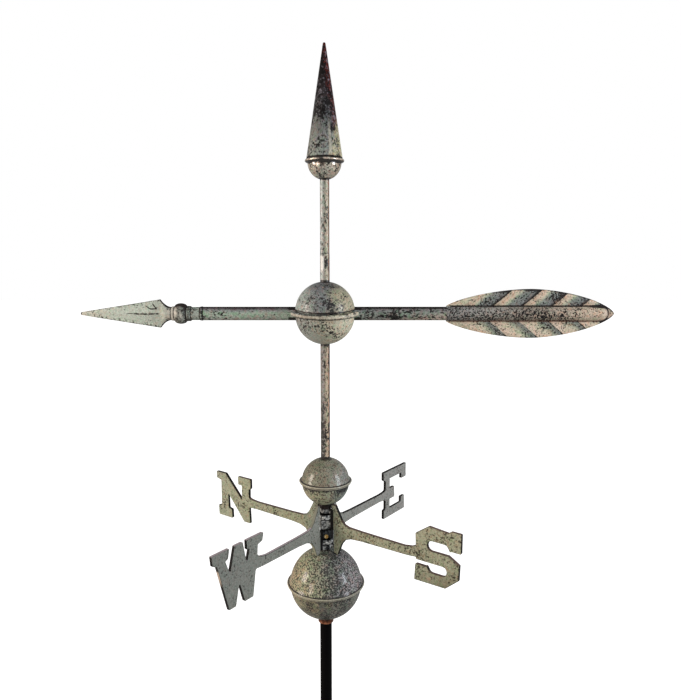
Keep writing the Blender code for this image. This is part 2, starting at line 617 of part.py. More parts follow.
def make_feather(copper, parent):
    """Pressed feather: a hollow quill over the shaft, and two vanes of swept barbs."""
    first_crest = ceil((FEATHER_START_X - BARB_CREST_X) / BARB_SPACING * BARB_STEPS)
    columns = [FEATHER_START_X]
    step = first_crest + 1
    while BARB_CREST_X + BARB_SPACING * step / BARB_STEPS < QUILL_END_X - QUILL_RADIUS:
        columns.append(BARB_CREST_X + BARB_SPACING * step / BARB_STEPS)
        step += 1
    columns += [QUILL_END_X - QUILL_RADIUS * (1 - share) for share in (0.4, 0.75, 0.95, 1.0)]
    columns += [QUILL_END_X + (FEATHER_END_X - QUILL_END_X) * share for share in (0.6, 1.0)]
    rings = []
    for column_x in columns:
        rows = feather_rows(column_x)
        front_top = [(x, -half, z) for x, z, half in rows]
        back_top = [(x, half, z) for x, z, half in rows[::-1]]
        back_low = [(x, half, -z) for x, z, half in rows[1:]]
        front_low = [(x, -half, -z) for x, z, half in rows[:0:-1]]
        ring = front_top + back_top + back_low + front_low
        rings.append([(x, y, ARROW_Z + z) for x, y, z in ring])
    feather = make_object("feather", skin(rings), copper, parent)
    radius = SHAFT_RADIUS + GAP
    bm = turned([(0.0, FEATHER_START_X - 5 * MM), (radius, FEATHER_START_X - 5 * MM),
                 (radius, FEATHER_START_X + SHAFT_LAP + GAP), (0.0, FEATHER_START_X + SHAFT_LAP + GAP)], 24)
    bm.transform(Matrix.Translation((0.0, 0.0, ARROW_Z)) @ Matrix.Rotation(pi / 2, 4, "Y"))
    combine(feather, make_object("feather_socket_guide", bm, copper), "DIFFERENCE")


def main():
    clear_scene()
    verdigris = make_material("verdigris_copper", (0.30, 0.31, 0.25), 0.45, 0.6)
    dark_copper = make_material("darkened_copper", (0.13, 0.11, 0.10), 0.40, 0.8)
    bright_copper = make_material("bright_copper", (0.55, 0.23, 0.09), 0.30, 1.0)
    brass_yellow = make_material("patinated_brass_warm", (0.27, 0.26, 0.17), 0.55, 0.6)
    brass_blue = make_material("patinated_brass_cool", (0.20, 0.22, 0.20), 0.55, 0.6)
    bright_brass = make_material("bright_brass", (0.65, 0.43, 0.14), 0.25, 1.0)
    black_paint = make_material("black_paint", (0.015, 0.015, 0.016), 0.45, 0.0)

    base = bpy.data.objects.new("base", None)
    vane = bpy.data.objects.new("vane", None)
    for empty in (base, vane):
        bpy.context.scene.collection.objects.link(empty)

    make_rod(base, black_paint)
    globe_foot = LOWER_GLOBE_Z - LOWER_GLOBE_RADIUS
    make_collar("lower_copper_collar", ROD_RADIUS + COLLAR_THICK, ROD_RADIUS + GAP,
                globe_foot - LOWER_COLLAR_HEIGHT, globe_foot, bright_copper, base)
    bottom = globe_bottom_half(LOWER_GLOBE_Z, LOWER_GLOBE_RADIUS, ROD_RADIUS + GAP, 6, 28)
    make_object("lower_globe_bottom_half", bottom, verdigris, base)
    top = globe_top_half(LOWER_GLOBE_Z, LOWER_GLOBE_RADIUS, LOWER_FLANGE_RADIUS, SPINDLE_BORE, 6, 28)
    make_object("lower_globe_top_half", top, verdigris, base)

    west = placed(letter_w(), -217.0 * MM, 230.9 * MM)
    east = placed(letter_e(), 148.4 * MM, 231.0 * MM)
    north = placed(letter_n(), -217.5 * MM, 238.7 * MM)
    south = placed(letter_s(), 144.5 * MM, 235.5 * MM)
    west_east = make_casting("compass_west_east", COMPASS_TURN + pi / 2, (west, east), -1, brass_blue, base)
    make_casting("compass_north_south", COMPASS_TURN, (north, south), 1, brass_yellow, base)
    make_set_screw(HUB_SPLIT_Z - GAP / 2, west_east, bright_brass, base)

    upper_collar_low = HUB_SPLIT_Z + GAP / 2 + HUB_HALF_HEIGHT + GAP
    make_collar("upper_copper_collar", UPPER_COLLAR_RADIUS, SPINDLE_BORE, upper_collar_low,
                UPPER_GLOBE_Z - UPPER_GLOBE_RADIUS, bright_copper, base)
    bottom = globe_bottom_half(UPPER_GLOBE_Z, UPPER_GLOBE_RADIUS, SPINDLE_BORE, 5, 24)
    make_object("upper_globe_bottom_half", bottom, verdigris, base)
    top = globe_top_half(UPPER_GLOBE_Z, UPPER_GLOBE_RADIUS, UPPER_FLANGE_RADIUS, SPINDLE_BORE, 5, 24)
    make_object("upper_globe_top_half", top, verdigris, base)

    make_tubes(verdigris, vane)
    make_ball(verdigris, vane)
    make_finial(dark_copper, vane)
    make_shaft(dark_copper, vane)
    make_arrowhead(verdigris, vane)
    make_feather(verdigris, vane)


main()
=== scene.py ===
from functools import partial
from math import cos, pi, radians, sin, sqrt

import bmesh
import bpy
import numpy as np
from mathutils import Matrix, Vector


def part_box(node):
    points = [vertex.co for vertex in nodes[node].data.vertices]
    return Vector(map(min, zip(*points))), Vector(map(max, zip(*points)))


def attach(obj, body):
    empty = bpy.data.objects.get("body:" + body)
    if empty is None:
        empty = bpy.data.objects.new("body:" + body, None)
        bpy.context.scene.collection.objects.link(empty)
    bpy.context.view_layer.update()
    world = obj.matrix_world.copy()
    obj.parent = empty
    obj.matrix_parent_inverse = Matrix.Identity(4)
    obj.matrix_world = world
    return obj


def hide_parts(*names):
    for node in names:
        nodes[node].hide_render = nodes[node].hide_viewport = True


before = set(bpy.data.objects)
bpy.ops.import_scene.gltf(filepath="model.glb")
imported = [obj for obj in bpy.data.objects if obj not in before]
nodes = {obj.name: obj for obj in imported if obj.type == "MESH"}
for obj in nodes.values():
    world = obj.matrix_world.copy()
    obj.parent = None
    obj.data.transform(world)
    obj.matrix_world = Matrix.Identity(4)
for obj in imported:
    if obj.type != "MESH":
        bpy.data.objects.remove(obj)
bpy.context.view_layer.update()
mm = 0.001
gap = 0.3  # mm between two pieces that touch, as between the solids
arrowZ = 571.5  # mm, height of the arrow's centre line
bores = dict(spindle=5.06, rod=8.7)  # mm, radii of the holes round the spindle and round the rod
print("frame loaded:", len(nodes), "solids")


# A hex colour as linear RGBA: each channel goes through the sRGB curve.
def srgb(code):
    channels = [int(code[i:i + 2], 16) / 255 for i in (1, 3, 5)]
    return tuple(c / 12.92 if c < 0.04045 else ((c + 0.055) / 1.055) ** 2.4 for c in channels) + (1.0,)


# 0 below low, 1 above high, and an S curve between.
def smooth(x, low, high):
    t = np.clip((x - low) / (high - low), 0, 1)
    return t * t * (3 - 2 * t)


# Rises from start to full, stays at 1, and falls from fading to end.
def between(x, start, full, fading, end):
    return smooth(x, start, full) * (1 - smooth(x, fading, end))


# Bell curve: 1 at the middle, falling away over the width.
def bump(x, middle, width):
    return np.exp(-((x - middle) / width) ** 2)


# Blotches seen from the front: the sum of bell curves at (x, z), each with its width, height and amount.
def spots(x, z, places):
    return sum(amount * np.exp(-((x - px) / wide) ** 2 - ((z - pz) / tall) ** 2)
               for px, pz, wide, tall, amount in places)


# Bell-shaped mark along a straight line from start to end, by the distance from the line.
def stroke(x, z, start, end, width):
    start, end = np.array(start, float), np.array(end, float)
    way = end - start
    share = np.clip(((x - start[0]) * way[0] + (z - start[1]) * way[1]) / (way @ way), 0, 1)
    return bump(np.hypot(x - start[0] - share * way[0], z - start[1] - share * way[1]), 0, width)


# Puts a mesh, a light or the camera into the scene, at its place and turned.
def addObject(name, data, place=(0, 0, 0), turn=(0, 0, 0)):
    item = bpy.data.objects.new(name, data)
    bpy.context.scene.collection.objects.link(item)
    item.location, item.rotation_euler = place, turn
    return item


# Closes the poles, points the faces outwards, shades, and hangs the piece on its body in place of a node.
def finishMesh(mesh, material, body, node, sharp=38):
    bm = bmesh.new()
    bm.from_mesh(mesh)
    bmesh.ops.remove_doubles(bm, verts=bm.verts, dist=2e-6)
    bmesh.ops.dissolve_degenerate(bm, edges=bm.edges, dist=1e-7)
    bmesh.ops.recalc_face_normals(bm, faces=bm.faces)
    bm.to_mesh(mesh)
    bm.free()
    mesh.shade_smooth()
    mesh.set_sharp_from_angle(angle=radians(sharp))
    mesh.materials.append(material)
    piece = addObject(mesh.name, mesh)
    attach(piece, body)
    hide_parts(node)


# Mesh of a grid of points (rows, columns, 3) in metres: four neighbours make a face. Columns go round and
# close. Rows close too if asked, and otherwise get end caps. Painted values, such as grime and painted
# shade, are kept for each point.
def gridMesh(name, points, closeRows=False, **painted):
    rows, columns = points.shape[:2]
    index = np.arange(rows * columns).reshape(rows, columns)
    if closeRows:
        index = np.vstack([index, index[:1]])
    index = np.hstack([index, index[:, :1]])
    quads = np.stack([index[:-1, :-1], index[:-1, 1:], index[1:, 1:], index[1:, :-1]], -1)
    faces = quads.reshape(-1, 4).tolist()
    if not closeRows:
        faces += [index[0, :-1].tolist(), index[-1, :-1].tolist()]
    mesh = bpy.data.meshes.new(name)
    mesh.from_pydata(points.reshape(-1, 3).tolist(), [], faces)
    for key, values in painted.items():
        values = values[:, None] if values.ndim == 1 else values
        values = np.clip(values + np.zeros((rows, columns)), 0, 1)
        layer = mesh.attributes.new(key, "FLOAT", "POINT")
        layer.data.foreach_set("value", np.ascontiguousarray(values, dtype=np.float32).ravel())
    return mesh


# Points of an arc about (r, z), angles in degrees from +r towards +z.
def arc(r, z, radius, start, end, count):
    a = np.radians(np.linspace(start, end, count))
    return np.stack([r + radius * np.cos(a), z + radius * np.sin(a)], 1)


# Cubic curve from a to d with handles b and c.
def bezier(a, b, c, d, count):
    t = np.linspace(0, 1, count)[:, None]
    a, b, c, d = (np.array(p, float) for p in (a, b, c, d))
    return (1 - t) ** 3 * a + 3 * (1 - t) ** 2 * t * b + 3 * (1 - t) * t * t * c + t ** 3 * d


# Angle in degrees, off a ball's axis, at which a bore of that radius leaves the ball.
def boreAngle(bore, radius):
    return np.degrees(np.arcsin(bore / radius))


# Angles of the columns round a turned piece, as one row.
def turnOf(around):
    return np.linspace(0, 2 * pi, around, endpoint=False)[None, :]


# Strip along a turned piece: a bell curve on the cosine of the angle, in degrees, to its middle.
def strip(turn, angle, width):
    return bump(np.cos(turn - radians(angle)), 1, width)


# Profile of (radius, height) in mm carried round an axis. Wobble is the share of the radius by which hand
# spinning leaves it out of true, as a slow wave round and along the piece, and rise lifts it by a function
# of (height, angle). Painted values are arrays along the profile or over the grid, or functions of the
# place (x, y, z) in mm.
def turned(name, profile, around, axis="z", wobble=0.0, rise=None, **painted):
    profile = np.array(profile, float) * mm
    turn = turnOf(around)
    r, h = profile[:, :1], profile[:, 1:]
    r = r * (1 + wobble * np.sin(2 * turn + 40 * h) * np.cos(3 * turn - 25 * h))
    if rise:
        h = h + rise(h / mm, turn) * mm
    out, side, along = r * np.cos(turn), r * np.sin(turn), h + 0 * turn
    points = np.stack([out, side, along] if axis == "z" else [along, out, arrowZ * mm + side], -1)
    place = np.moveaxis(points / mm, -1, 0)
    painted = {key: value(*place) if callable(value) else value for key, value in painted.items()}
    hollow = max(profile[0, 0], profile[-1, 0]) > 1e-6
    return gridMesh(name, points, hollow, **painted)


# Paint along a profile: strongest at each (radius, height, reach, strength) in mm, gone past the reach.
def near(profile, places):
    amount = np.zeros(len(profile))
    for r, z, reach, strength in places:
        distance = np.hypot(profile[:, 0] - r, profile[:, 1] - z)
        amount = np.maximum(amount, strength * (1 - smooth(distance, 0.35 * reach, reach)))
    return amount


# Sets sockets to values, or links them from a node's first output or from (node, output).
def connect(node, inputs):
    for key, value in inputs.items():
        source, output = value if isinstance(value, tuple) and len(value) == 2 else (value, 0)
        if isinstance(source, bpy.types.Node):
            node.id_data.links.new(source.outputs[output], node.inputs[key])
        else:
            node.inputs[key].default_value = value


# One node with its settings and sockets, and a ramp's stops as (place, hex colour).
def addNode(tree, kind, inputs=None, stops=(), **settings):
    node = tree.nodes.new("ShaderNode" + kind)
    for key, value in settings.items():
        setattr(node, key, value)
    connect(node, inputs or {})
    if stops:
        elements = node.color_ramp.elements
        while len(elements) < len(stops):
            elements.new(0.5)
        for element, (place, code) in zip(elements, stops):
            element.position = place
            element.color = srgb(code)
    return node


# A new material, the function that adds nodes to it, and its shader.
def newMaterial(name):
    material = bpy.data.materials.new(name)
    material.use_nodes = True
    tree = material.node_tree
    return material, partial(addNode, tree), tree.nodes["Principled BSDF"]


# Mask that rises from 0 to the amount as the place along a direction goes from low to high mm.
def sideMask(add, here, direction, low, high, amount=1.0):
    along = add("VectorMath", {0: here, 1: direction}, operation="DOT_PRODUCT")
    return add("MapRange", {"Value": (along, "Value"), "From Min": low * mm, "From Max": high * mm,
                            "To Max": amount}, interpolation_type="SMOOTHSTEP")


# Values shared by the patinated pieces, with sizes in mm. A piece changes what it needs, and always gives
# wash, the strength of red, green and blue; ground, a ramp of colours, and span, where along a direction it
# starts and ends; cloud and wander, the size of the clouds and how far they push the ramp about; seed,
# where the noise is read; and speck, speckFrom and crowding. From, Soft and Depth say at what noise a layer
# shows, how softly and how strongly.
patinaValues = dict(
    along=(1, 0, 0), stretch=(1, 1, 1), flutter=0.12, veils=[], tint=4.5, tints=("#d9edd7", "#fadfd4"),
    fine=1.8, fineDepth=0.34,
    glimpse=9, glimpseFrom=0.62, glimpseSoft=0.09, glimpseDepth=0.45, glimpseColour="#c3a68f",
    blotch=22, speckSoft=0.05, speckDepth=0.93, speckColour="#171411",
    pit=4.5, pitFrom=0.63, pitSoft=0.05, pitDepth=0.95, pitColour="#0b0808",
    grimeFrom=0.78, grimeSoft=0.4, grimeDepth=0.96, grimeColour="#150e0c", rubColour="#cdc7b4",
    roughness=0.42, darkRougher=0.2, specular=0.4, relief=0.35, metallic=0.0, lacquer=0.25,
    lacquerRoughness=0.2)

# Each noise of the patina: whether it stretches along the piece, and its detail and roughness.
patinaNoises = dict(cloud=(False, 3.0, 0.55), tint=(False, 3.0, 0.6), fine=(True, 3.0, 0.7),
                    speck=(True, 4.0, 0.66), blotch=(False, 2.0, 0.5), pit=(True, 5.0, 0.7),
                    glimpse=(False, 3.0, 0.65))
noiseRange = {"From Min": 0.3, "From Max": 0.7}  # noise hardly leaves these values


# Chemically aged copper or brass under clear lacquer. The eye sees a chalky ground that drifts in hue,
# green and pink tints a few mm wide, dark speckle that crowds in blotches, larger black pits, dirt and
# painted shade in the creases, rubbed edges and painted highlights on proud places, and the lacquer's gloss
# on top. Overlay is a function that lays a piece's own marks over all that.
def patina(name, barbs=(), overlay=None, **changes):
    look = {**patinaValues, **changes}
    material, add, shader = newMaterial(name)
    here = (add("TexCoord"), "Object")
    shifted = add("Mapping", {"Vector": here, "Location": look["seed"]})
    stretched = add("Mapping", {"Vector": shifted, "Scale": look["stretch"]})
    grain = {key: add("TexNoise", {"Vector": stretched if along else shifted, "Scale": 1000 / look[key],
                                   "Detail": detail, "Roughness": roughness})
             for key, (along, detail, roughness) in patinaNoises.items()}
    crowd, grime, rub = ((add("Attribute", attribute_name=key), "Fac") for key in ("crowd", "grime", "rub"))

    # ground colour: a ramp along the piece, pushed about by soft clouds and a finer flutter. On some pieces
    # the ramp and the veils also paint light and shade.
    along = add("VectorMath", {0: here, 1: look["along"]}, operation="DOT_PRODUCT")
    start, end = look["span"]
    drift = add("MapRange", {"Value": (along, "Value"), "From Min": start * mm, "From Max": end * mm,
                             "To Min": -look["wander"] / 2, "To Max": 1 - look["wander"] / 2})
    clouds = add("MapRange", {"Value": grain["cloud"], **noiseRange, "To Max": look["wander"]})
    flutter = add("Math", {0: grain["fine"], 1: look["flutter"], 2: clouds}, operation="MULTIPLY_ADD")
    position = add("Math", {0: drift, 1: flutter}, operation="ADD", use_clamp=True)
    colour = add("ValToRGB", {"Fac": position}, stops=look["ground"])
    if barbs:
        # a second ramp across each barb of the feather paints the light and shade of its hollow and crest,
        # where the mesh says that it is sheet
        phase, onSheet = ((add("Attribute", attribute_name=key), "Fac") for key in ("barb", "onSheet"))
        shaken = add("Math", {0: grain["cloud"], 1: 0.16, 2: phase}, operation="MULTIPLY_ADD")
        barbShade = add("ValToRGB", {"Fac": shaken}, stops=barbs)
        colour = add("MixRGB", {"Fac": onSheet, "Color1": colour, "Color2": barbShade})
    for direction, low, high, amount, code in look["veils"]:
        mask = sideMask(add, here, direction, low, high, amount)
        veilPatchiness = add("MapRange", {"Value": grain["cloud"], "From Min": 0.3, "From Max": 0.6, "To Min": 0.55})
        veil = add("Math", {0: mask, 1: veilPatchiness}, operation="MULTIPLY")
        colour = add("MixRGB", {"Fac": veil, "Color1": colour, "Color2": srgb(code)})

    # green and pink tints, then fine lighter and darker grain
    green, pink = look["tints"]
    tints = add("ValToRGB", {"Fac": grain["tint"]}, stops=[(0.34, green), (0.5, "#ffffff"), (0.66, pink)])
    tinted = add("VectorMath", {0: colour, 1: tints}, operation="MULTIPLY")
    washed = add("VectorMath", {0: tinted, 1: look["wash"]}, operation="MULTIPLY")
    shade = add("MapRange", {"Value": grain["fine"], **noiseRange, "To Min": 1 - look["fineDepth"],
                             "To Max": 1 + look["fineDepth"]})
    colour = add("VectorMath", {0: washed, "Scale": shade}, operation="SCALE")

    # speckle and pits are denser inside blotches and where the crowd values say, and dirt and painted shade
    # are broken up
    crowding = add("MapRange", {"Value": grain["blotch"], **noiseRange, "To Min": -look["crowding"],
                                "To Max": look["crowding"]})
    extra = add("Math", {0: crowd, 1: 0.2, 2: crowding}, operation="MULTIPLY_ADD")
    sources = dict(glimpse=grain["glimpse"],
                   speck=add("Math", {0: grain["speck"], 1: extra}, operation="ADD"),
                   pit=add("Math", {0: grain["pit"], 1: extra}, operation="ADD"),
                   grime=add("Math", {0: grain["speck"], 1: 0.9, 2: grime}, operation="MULTIPLY_ADD"))
    masks = {key: add("MapRange", {"Value": source, "From Min": look[key + "From"],
                                   "From Max": look[key + "From"] + look[key + "Soft"],
                                   "To Max": look[key + "Depth"]}, interpolation_type="SMOOTHSTEP")
             for key, source in sources.items()}
    # the rub layer lightens proud places, as rubbed wear and painted highlights
    patchy = add("MapRange", {"Value": grain["fine"], "From Min": 0.3, "From Max": 0.55, "To Min": 0.35})
    masks["rub"] = add("Math", {0: rub, 1: patchy}, operation="MULTIPLY")

    # from the bottom: glimpses of bare metal, speckle, pits, pale proud edges as rubbed wear and painted
    # highlights, and dirt and painted shade in creases
    for key in ("glimpse", "speck", "pit", "rub", "grime"):
        colour = add("MixRGB", {"Fac": masks[key], "Color1": colour, "Color2": srgb(look[key + "Colour"])})
    metallic = look["metallic"]
    if overlay:
        colour, metallic = overlay(add, here, grain, colour)

    # speckle and pits are dull and stand a little below the skin
    dark = add("Math", {0: masks["speck"], 1: masks["pit"]}, operation="MAXIMUM")
    rough = add("MapRange", {"Value": dark, "To Min": look["roughness"],
                             "To Max": look["roughness"] + look["darkRougher"]})
    hollow = add("Bump", {"Height": dark, "Strength": look["relief"], "Distance": 0.3 * mm}, invert=True)
    skin = add("Bump", {"Height": grain["fine"], "Strength": look["relief"] * 0.7, "Distance": 0.25 * mm,
                        "Normal": hollow})
    connect(shader, {"Base Color": colour, "Metallic": metallic, "Roughness": rough, "Normal": skin,
                     "Specular IOR Level": look["specular"], "Coat Weight": look["lacquer"],
                     "Coat Roughness": look["lacquerRoughness"]})
    return material


# Camera, at the photograph's viewing angle. Its focal length and height are in the photograph's pixels.

photo = dict(place=(0.0209, -0.8873, 0.6463), pitchDown=7.99, focal=658.7, height=700, sensor=36)
cameraData = bpy.data.cameras.new("photoCamera")
cameraData.sensor_width = photo["sensor"]
cameraData.lens = photo["focal"] * photo["sensor"] / photo["height"]
cameraData.clip_end = 60
bpy.context.scene.camera = addObject("photoCamera", cameraData, photo["place"],
                                     (radians(90 - photo["pitchDown"]), 0, 0))


# Studio: a pale floor, a white surround and soft boxes, given as name, place, size, power and colour. The
# lens sees the surround and the floor as plain white.

studio = dict(surround=0.32, floorGlow=1.0, floorGrey="#b4b4b2", floorHalf=9, aim=(0, 0, 0.45),
              boxes=[("warmSide", (-2.08, -0.49, 0.905), (0.7, 1.0), 31, "#fff0e4"),
                     ("warmLow", (-1.18, -1.14, 0.34), (0.34, 0.42), 5.5, "#ffe9da"),
                     ("coolSide", (1.43, -0.66, 0.85), (0.5, 0.9), 16, "#f0f5ff"),
                     ("topSoft", (0.1, -1.1, 2.1), (1.6, 1.6), 5, "#ffffff")])
world = bpy.data.worlds.new("studioSurround")
bpy.context.scene.world = world
world.use_nodes = True
sight = addNode(world.node_tree, "LightPath")
level = addNode(world.node_tree, "MapRange", {"Value": (sight, "Is Camera Ray"),
                                              "To Min": studio["surround"]})
connect(world.node_tree.nodes["Background"], {"Strength": level, "Color": (1, 1, 1, 1)})

for name, place, size, power, colour in studio["boxes"]:
    lamp = bpy.data.lights.new(name, "AREA")
    lamp.shape = "RECTANGLE"
    lamp.size, lamp.size_y = size
    lamp.energy = power
    lamp.color = srgb(colour)[:3]
    aim = Vector(studio["aim"]) - Vector(place)
    addObject(name, lamp, place, aim.to_track_quat("-Z", "Y").to_euler())

# Matt pale paint, with hardly any gloss. It glows white for the lens alone.
floorMaterial, add, shader = newMaterial("paleStudioFloor")
glow = add("MapRange", {"Value": (add("LightPath"), "Is Camera Ray"), "To Max": studio["floorGlow"]})
connect(shader, {"Base Color": srgb(studio["floorGrey"]), "Roughness": 0.9, "Emission Color": (1, 1, 1, 1),
                 "Emission Strength": glow})
floorMesh = bpy.data.meshes.new("studioFloor")
half = studio["floorHalf"]
corners = [(-half, -half, 0), (half, -half, 0), (half, half, 0), (-half, half, 0)]
floorMesh.from_pydata(corners, [], [(0, 1, 2, 3)])
floorMesh.materials.append(floorMaterial)
addObject("studioFloor", floorMesh)
bpy.context.scene.view_settings.view_transform = "Standard"
print("camera and studio ready")


# Globes, spun in two halves. The top half's skirt flares over the bowl and ends in two rolled beads.

lowerGlobe = dict(z=187.1, radius=50.7, rim=55.2, bore=bores["rod"])
upperGlobe = dict(z=337.2, radius=33.2, rim=36.8, bore=bores["spindle"])
skirt = dict(bead=1.0, secondBead=0.8, secondInset=1.75, wobble=0.001, around=144)


# Dome: an arc, a cubic flare, and two beads one under the other. Bowl: an arc that closes up inside them.
# Creases, the bowl under the rim, and the top and the foot round the bores are darkened as dirt and
# painted shade, and the beads are lightened as rubbed wear and painted highlights.
def makeGlobe(label, node, globe, domeCopper, bowlCopper, crowd):
    z, radius, rim, bore = (globe[key] for key in ("z", "radius", "rim", "bore"))
    beadR, secondR = rim - skirt["bead"], rim - skirt["secondInset"]
    spun = dict(around=skirt["around"], wobble=skirt["wobble"], crowd=crowd)
    dome = arc(0, z, radius, 90 - boreAngle(bores["spindle"], radius), 13, 48)
    r0, z0 = dome[-1]
    flare = bezier((r0, z0), (r0 + 1.0, z0 - 4.0), (beadR - 2.2, z + 3.1), (beadR - 0.85, z + 1.75), 16)[1:]
    dome = np.vstack([dome, flare, arc(beadR, z + 0.9, skirt["bead"], 128, -50, 18),
                      arc(secondR, z - 1.1, skirt["secondBead"], 55, -130, 16),
                      [[radius + 0.3, z + gap / 2], [radius - 2.0, z + gap / 2],
                       [bores["spindle"], z + gap / 2]]])
    grime = near(dome, [(beadR - 1.3, z + 2.2, 1.5, 0.8), (rim - 0.8, z - 0.25, 0.9, 0.9),
                        (secondR - 0.7, z - 1.9, 1.0, 1.0), (5, z + radius, 9, 0.6)])
    rub = near(dome, [(rim - 0.4, z + 1.2, 1.4, 0.8), (secondR + 0.6, z - 1.3, 1.2, 0.8)])
    finishMesh(turned(label + "Dome", dome, grime=grime, rub=rub, **spun), domeCopper, "base",
               node + "_top_half")
    bowl = np.vstack([[[bore, z - gap / 2]],
                      arc(0, z - gap / 2, radius, 0, -90 + boreAngle(bore, radius), 56)])
    grime = near(bowl, [(radius, z - 2.4, 2.6, 1.0), (bore, z - radius, 6, 0.85)])
    finishMesh(turned(label + "Bowl", bowl, grime=grime, **spun), bowlCopper, "base",
               node + "_bottom_half")


# Spun copper, blue-green to tan, under a thick glossy lacquer: peppered all over with black.
lowerDomeCopper = patina(
    "verdigrisCopperBlackSpeckled", wash=(1.48, 1.41, 1.30), span=(-50, 50), cloud=30, wander=0.16,
    seed=(0.3, 0.1, 0.2), tint=6,
    ground=[(0.0, "#978b74"), (0.28, "#8d927b"), (0.5, "#878c7c"), (0.72, "#83868b"), (1.0, "#8f8d93")],
    speck=2.1, speckFrom=0.485, speckSoft=0.07, speckDepth=0.92, speckColour="#0f100d", crowding=0.03,
    blotch=20, pitFrom=0.70, rubColour="#b5b19b", roughness=0.5, lacquer=0.5, lacquerRoughness=0.13)
# Spun copper gone dull and dark: brown and olive clouds, thick with soft specks.
lowerBowlCopper = patina(
    "verdigrisCopperDarkSpeckled", wash=(1.18, 1.21, 1.18), span=(-50, 50), cloud=13, wander=0.55,
    seed=(0.34, 0.61, 0.2), tint=6, fineDepth=0.42,
    ground=[(0.0, "#958a70"), (0.25, "#777461"), (0.42, "#7f7c65"), (0.6, "#5d5e58"), (0.8, "#75736a"),
            (1.0, "#62625f")],
    speck=2.2, speckFrom=0.492, speckSoft=0.08, speckDepth=0.95, speckColour="#141310", crowding=0.06,
    pitFrom=0.72, rubColour="#9f9a84", lacquer=0.4)
# Spun copper, grey-olive to stone, glossy: a fine even pepper, denser just above the bead.
upperDomeCopper = patina(
    "verdigrisCopperFineSpeckled", wash=(1.13, 1.15, 1.16), along=(0.9, 0, -0.45), span=(-200, -115),
    cloud=15, wander=0.4, seed=(0.7, 0.4, 0.1), fineDepth=0.5,
    ground=[(0.0, "#7d7a68"), (0.4, "#83826d"), (0.7, "#979385"), (1.0, "#989692")],
    speck=1.8, speckFrom=0.510, speckSoft=0.07, speckDepth=0.88, speckColour="#131410", crowding=0.03,
    rubColour="#b8b39d", relief=0.3, lacquer=0.42, lacquerRoughness=0.14)
# Spun copper in olive, with crowded patches of speckle and clear ones between.
upperBowlCopper = patina(
    "verdigrisCopperOlive", wash=(1.40, 1.54, 1.79), span=(-30, 30), cloud=11, wander=0.5,
    seed=(0.2, 0.45, 0.17),
    ground=[(0.0, "#857d60"), (0.5, "#8f8a6c"), (0.75, "#7f7c66"), (1.0, "#686a5e")],
    speck=2.3, speckFrom=0.530, speckSoft=0.07, speckDepth=0.95, speckColour="#151410", crowding=0.08,
    blotch=13, pitFrom=0.61, rubColour="#a9a48e", lacquer=0.35)
makeGlobe("lowerGlobe", "lower_globe", lowerGlobe, lowerDomeCopper, lowerBowlCopper,
          lambda x, y, z: 0.2 * smooth(x, -34, 8) + spots(x, z, [(14, 222, 14, 14, 0.16)]))
makeGlobe("upperGlobe", "upper_globe", upperGlobe, upperDomeCopper, upperBowlCopper,
          lambda x, y, z: 0.55 * smooth(z, 322, 336) * (z < 337))
print("globes ready")


# Centre ball: the lower half carries the flange, and a groove, darkened as painted shade, runs under the
# upper half.

ball = dict(z=570.0, radius=40.2, flange=46.8, thick=4.0, lip=2.75, groove=2.0, neck=37.4, tube=6.65,
            seamRise=2.8, seamReach=9, wobble=0.001, around=144,
            bowlSpots=[(-18, 558, 14, 14, 0.35), (14, 546, 9, 9, 0.3)],
            domeSpots=[(1, 587, 20, 10, 0.42), (24, 596, 6, 6, 0.3), (-13, 600, 6, 6, 0.2)])

# Spun copper, slate in the middle between pale green and cream: black flecks and glints of pink metal. The
# pale sides and slate middle are partly painted broad highlights of the side lamps and painted shade
# between them, and a veil darkens the crown as painted shade.
ballDomeCopper = patina(
    "verdigrisCopperSlate", wash=(0.94, 0.99, 1.06), span=(-40, 40), cloud=20, wander=0.14, flutter=0.1,
    seed=(0.15, 0.52, 0.31), fineDepth=0.46,
    ground=[(0.0, "#adb2ab"), (0.24, "#a0a69e"), (0.42, "#888a87"), (0.52, "#7f7f7f"), (0.64, "#8f8c80"),
            (0.76, "#ada386"), (1.0, "#cbbc9c")],
    veils=[((0, 0, 1), 599, 612, 0.6, "#55545a")],
    speck=2.4, speckFrom=0.590, speckSoft=0.035, speckDepth=0.97, crowding=0.05, pit=4.4, pitFrom=0.6,
    glimpseColour="#c9ab93", grimeColour="#1b100d", lacquer=0.3)
# Spun copper, grey to cream, paler than the dome: sparse bold flecks, and a cream flange. The cream on the
# right is partly a painted broad highlight, and the flange is lightened as rubbed wear and painted highlight.
ballBowlCopper = patina(
    "verdigrisCopperCream", wash=(1.13, 1.22, 1.40), span=(-40, 40), cloud=22, wander=0.14, flutter=0.1,
    seed=(0.48, 0.13, 0.77), tints=("#d9edd8", "#fae2cf"), fineDepth=0.42,
    ground=[(0.0, "#93948f"), (0.35, "#8f8f80"), (0.58, "#a09b83"), (0.76, "#c4b798"), (1.0, "#d3c5a5")],
    speck=2.6, speckFrom=0.585, speckSoft=0.035, speckDepth=0.97, crowding=0.06, pit=5.0, pitFrom=0.62,
    glimpseColour="#cfae93", glimpseDepth=0.3, grimeColour="#1b100d", rubColour="#d8cdb8")
middle, radius, neck, tube, lip = (ball[key] for key in ("z", "radius", "neck", "tube", "lip"))
flangeTop, flangeLow = middle + ball["thick"] / 2, middle - ball["thick"] / 2
tubeAngle = boreAngle(tube, radius)


# The flange was bent by hand: its seam stands a little higher at the two sides than in front and behind, by
# the squared cosine of the angle, fading away from the seam.
def seamRise(z, turn):
    return ball["seamRise"] * np.cos(turn) ** 2 * bump(z, flangeTop, ball["seamReach"])


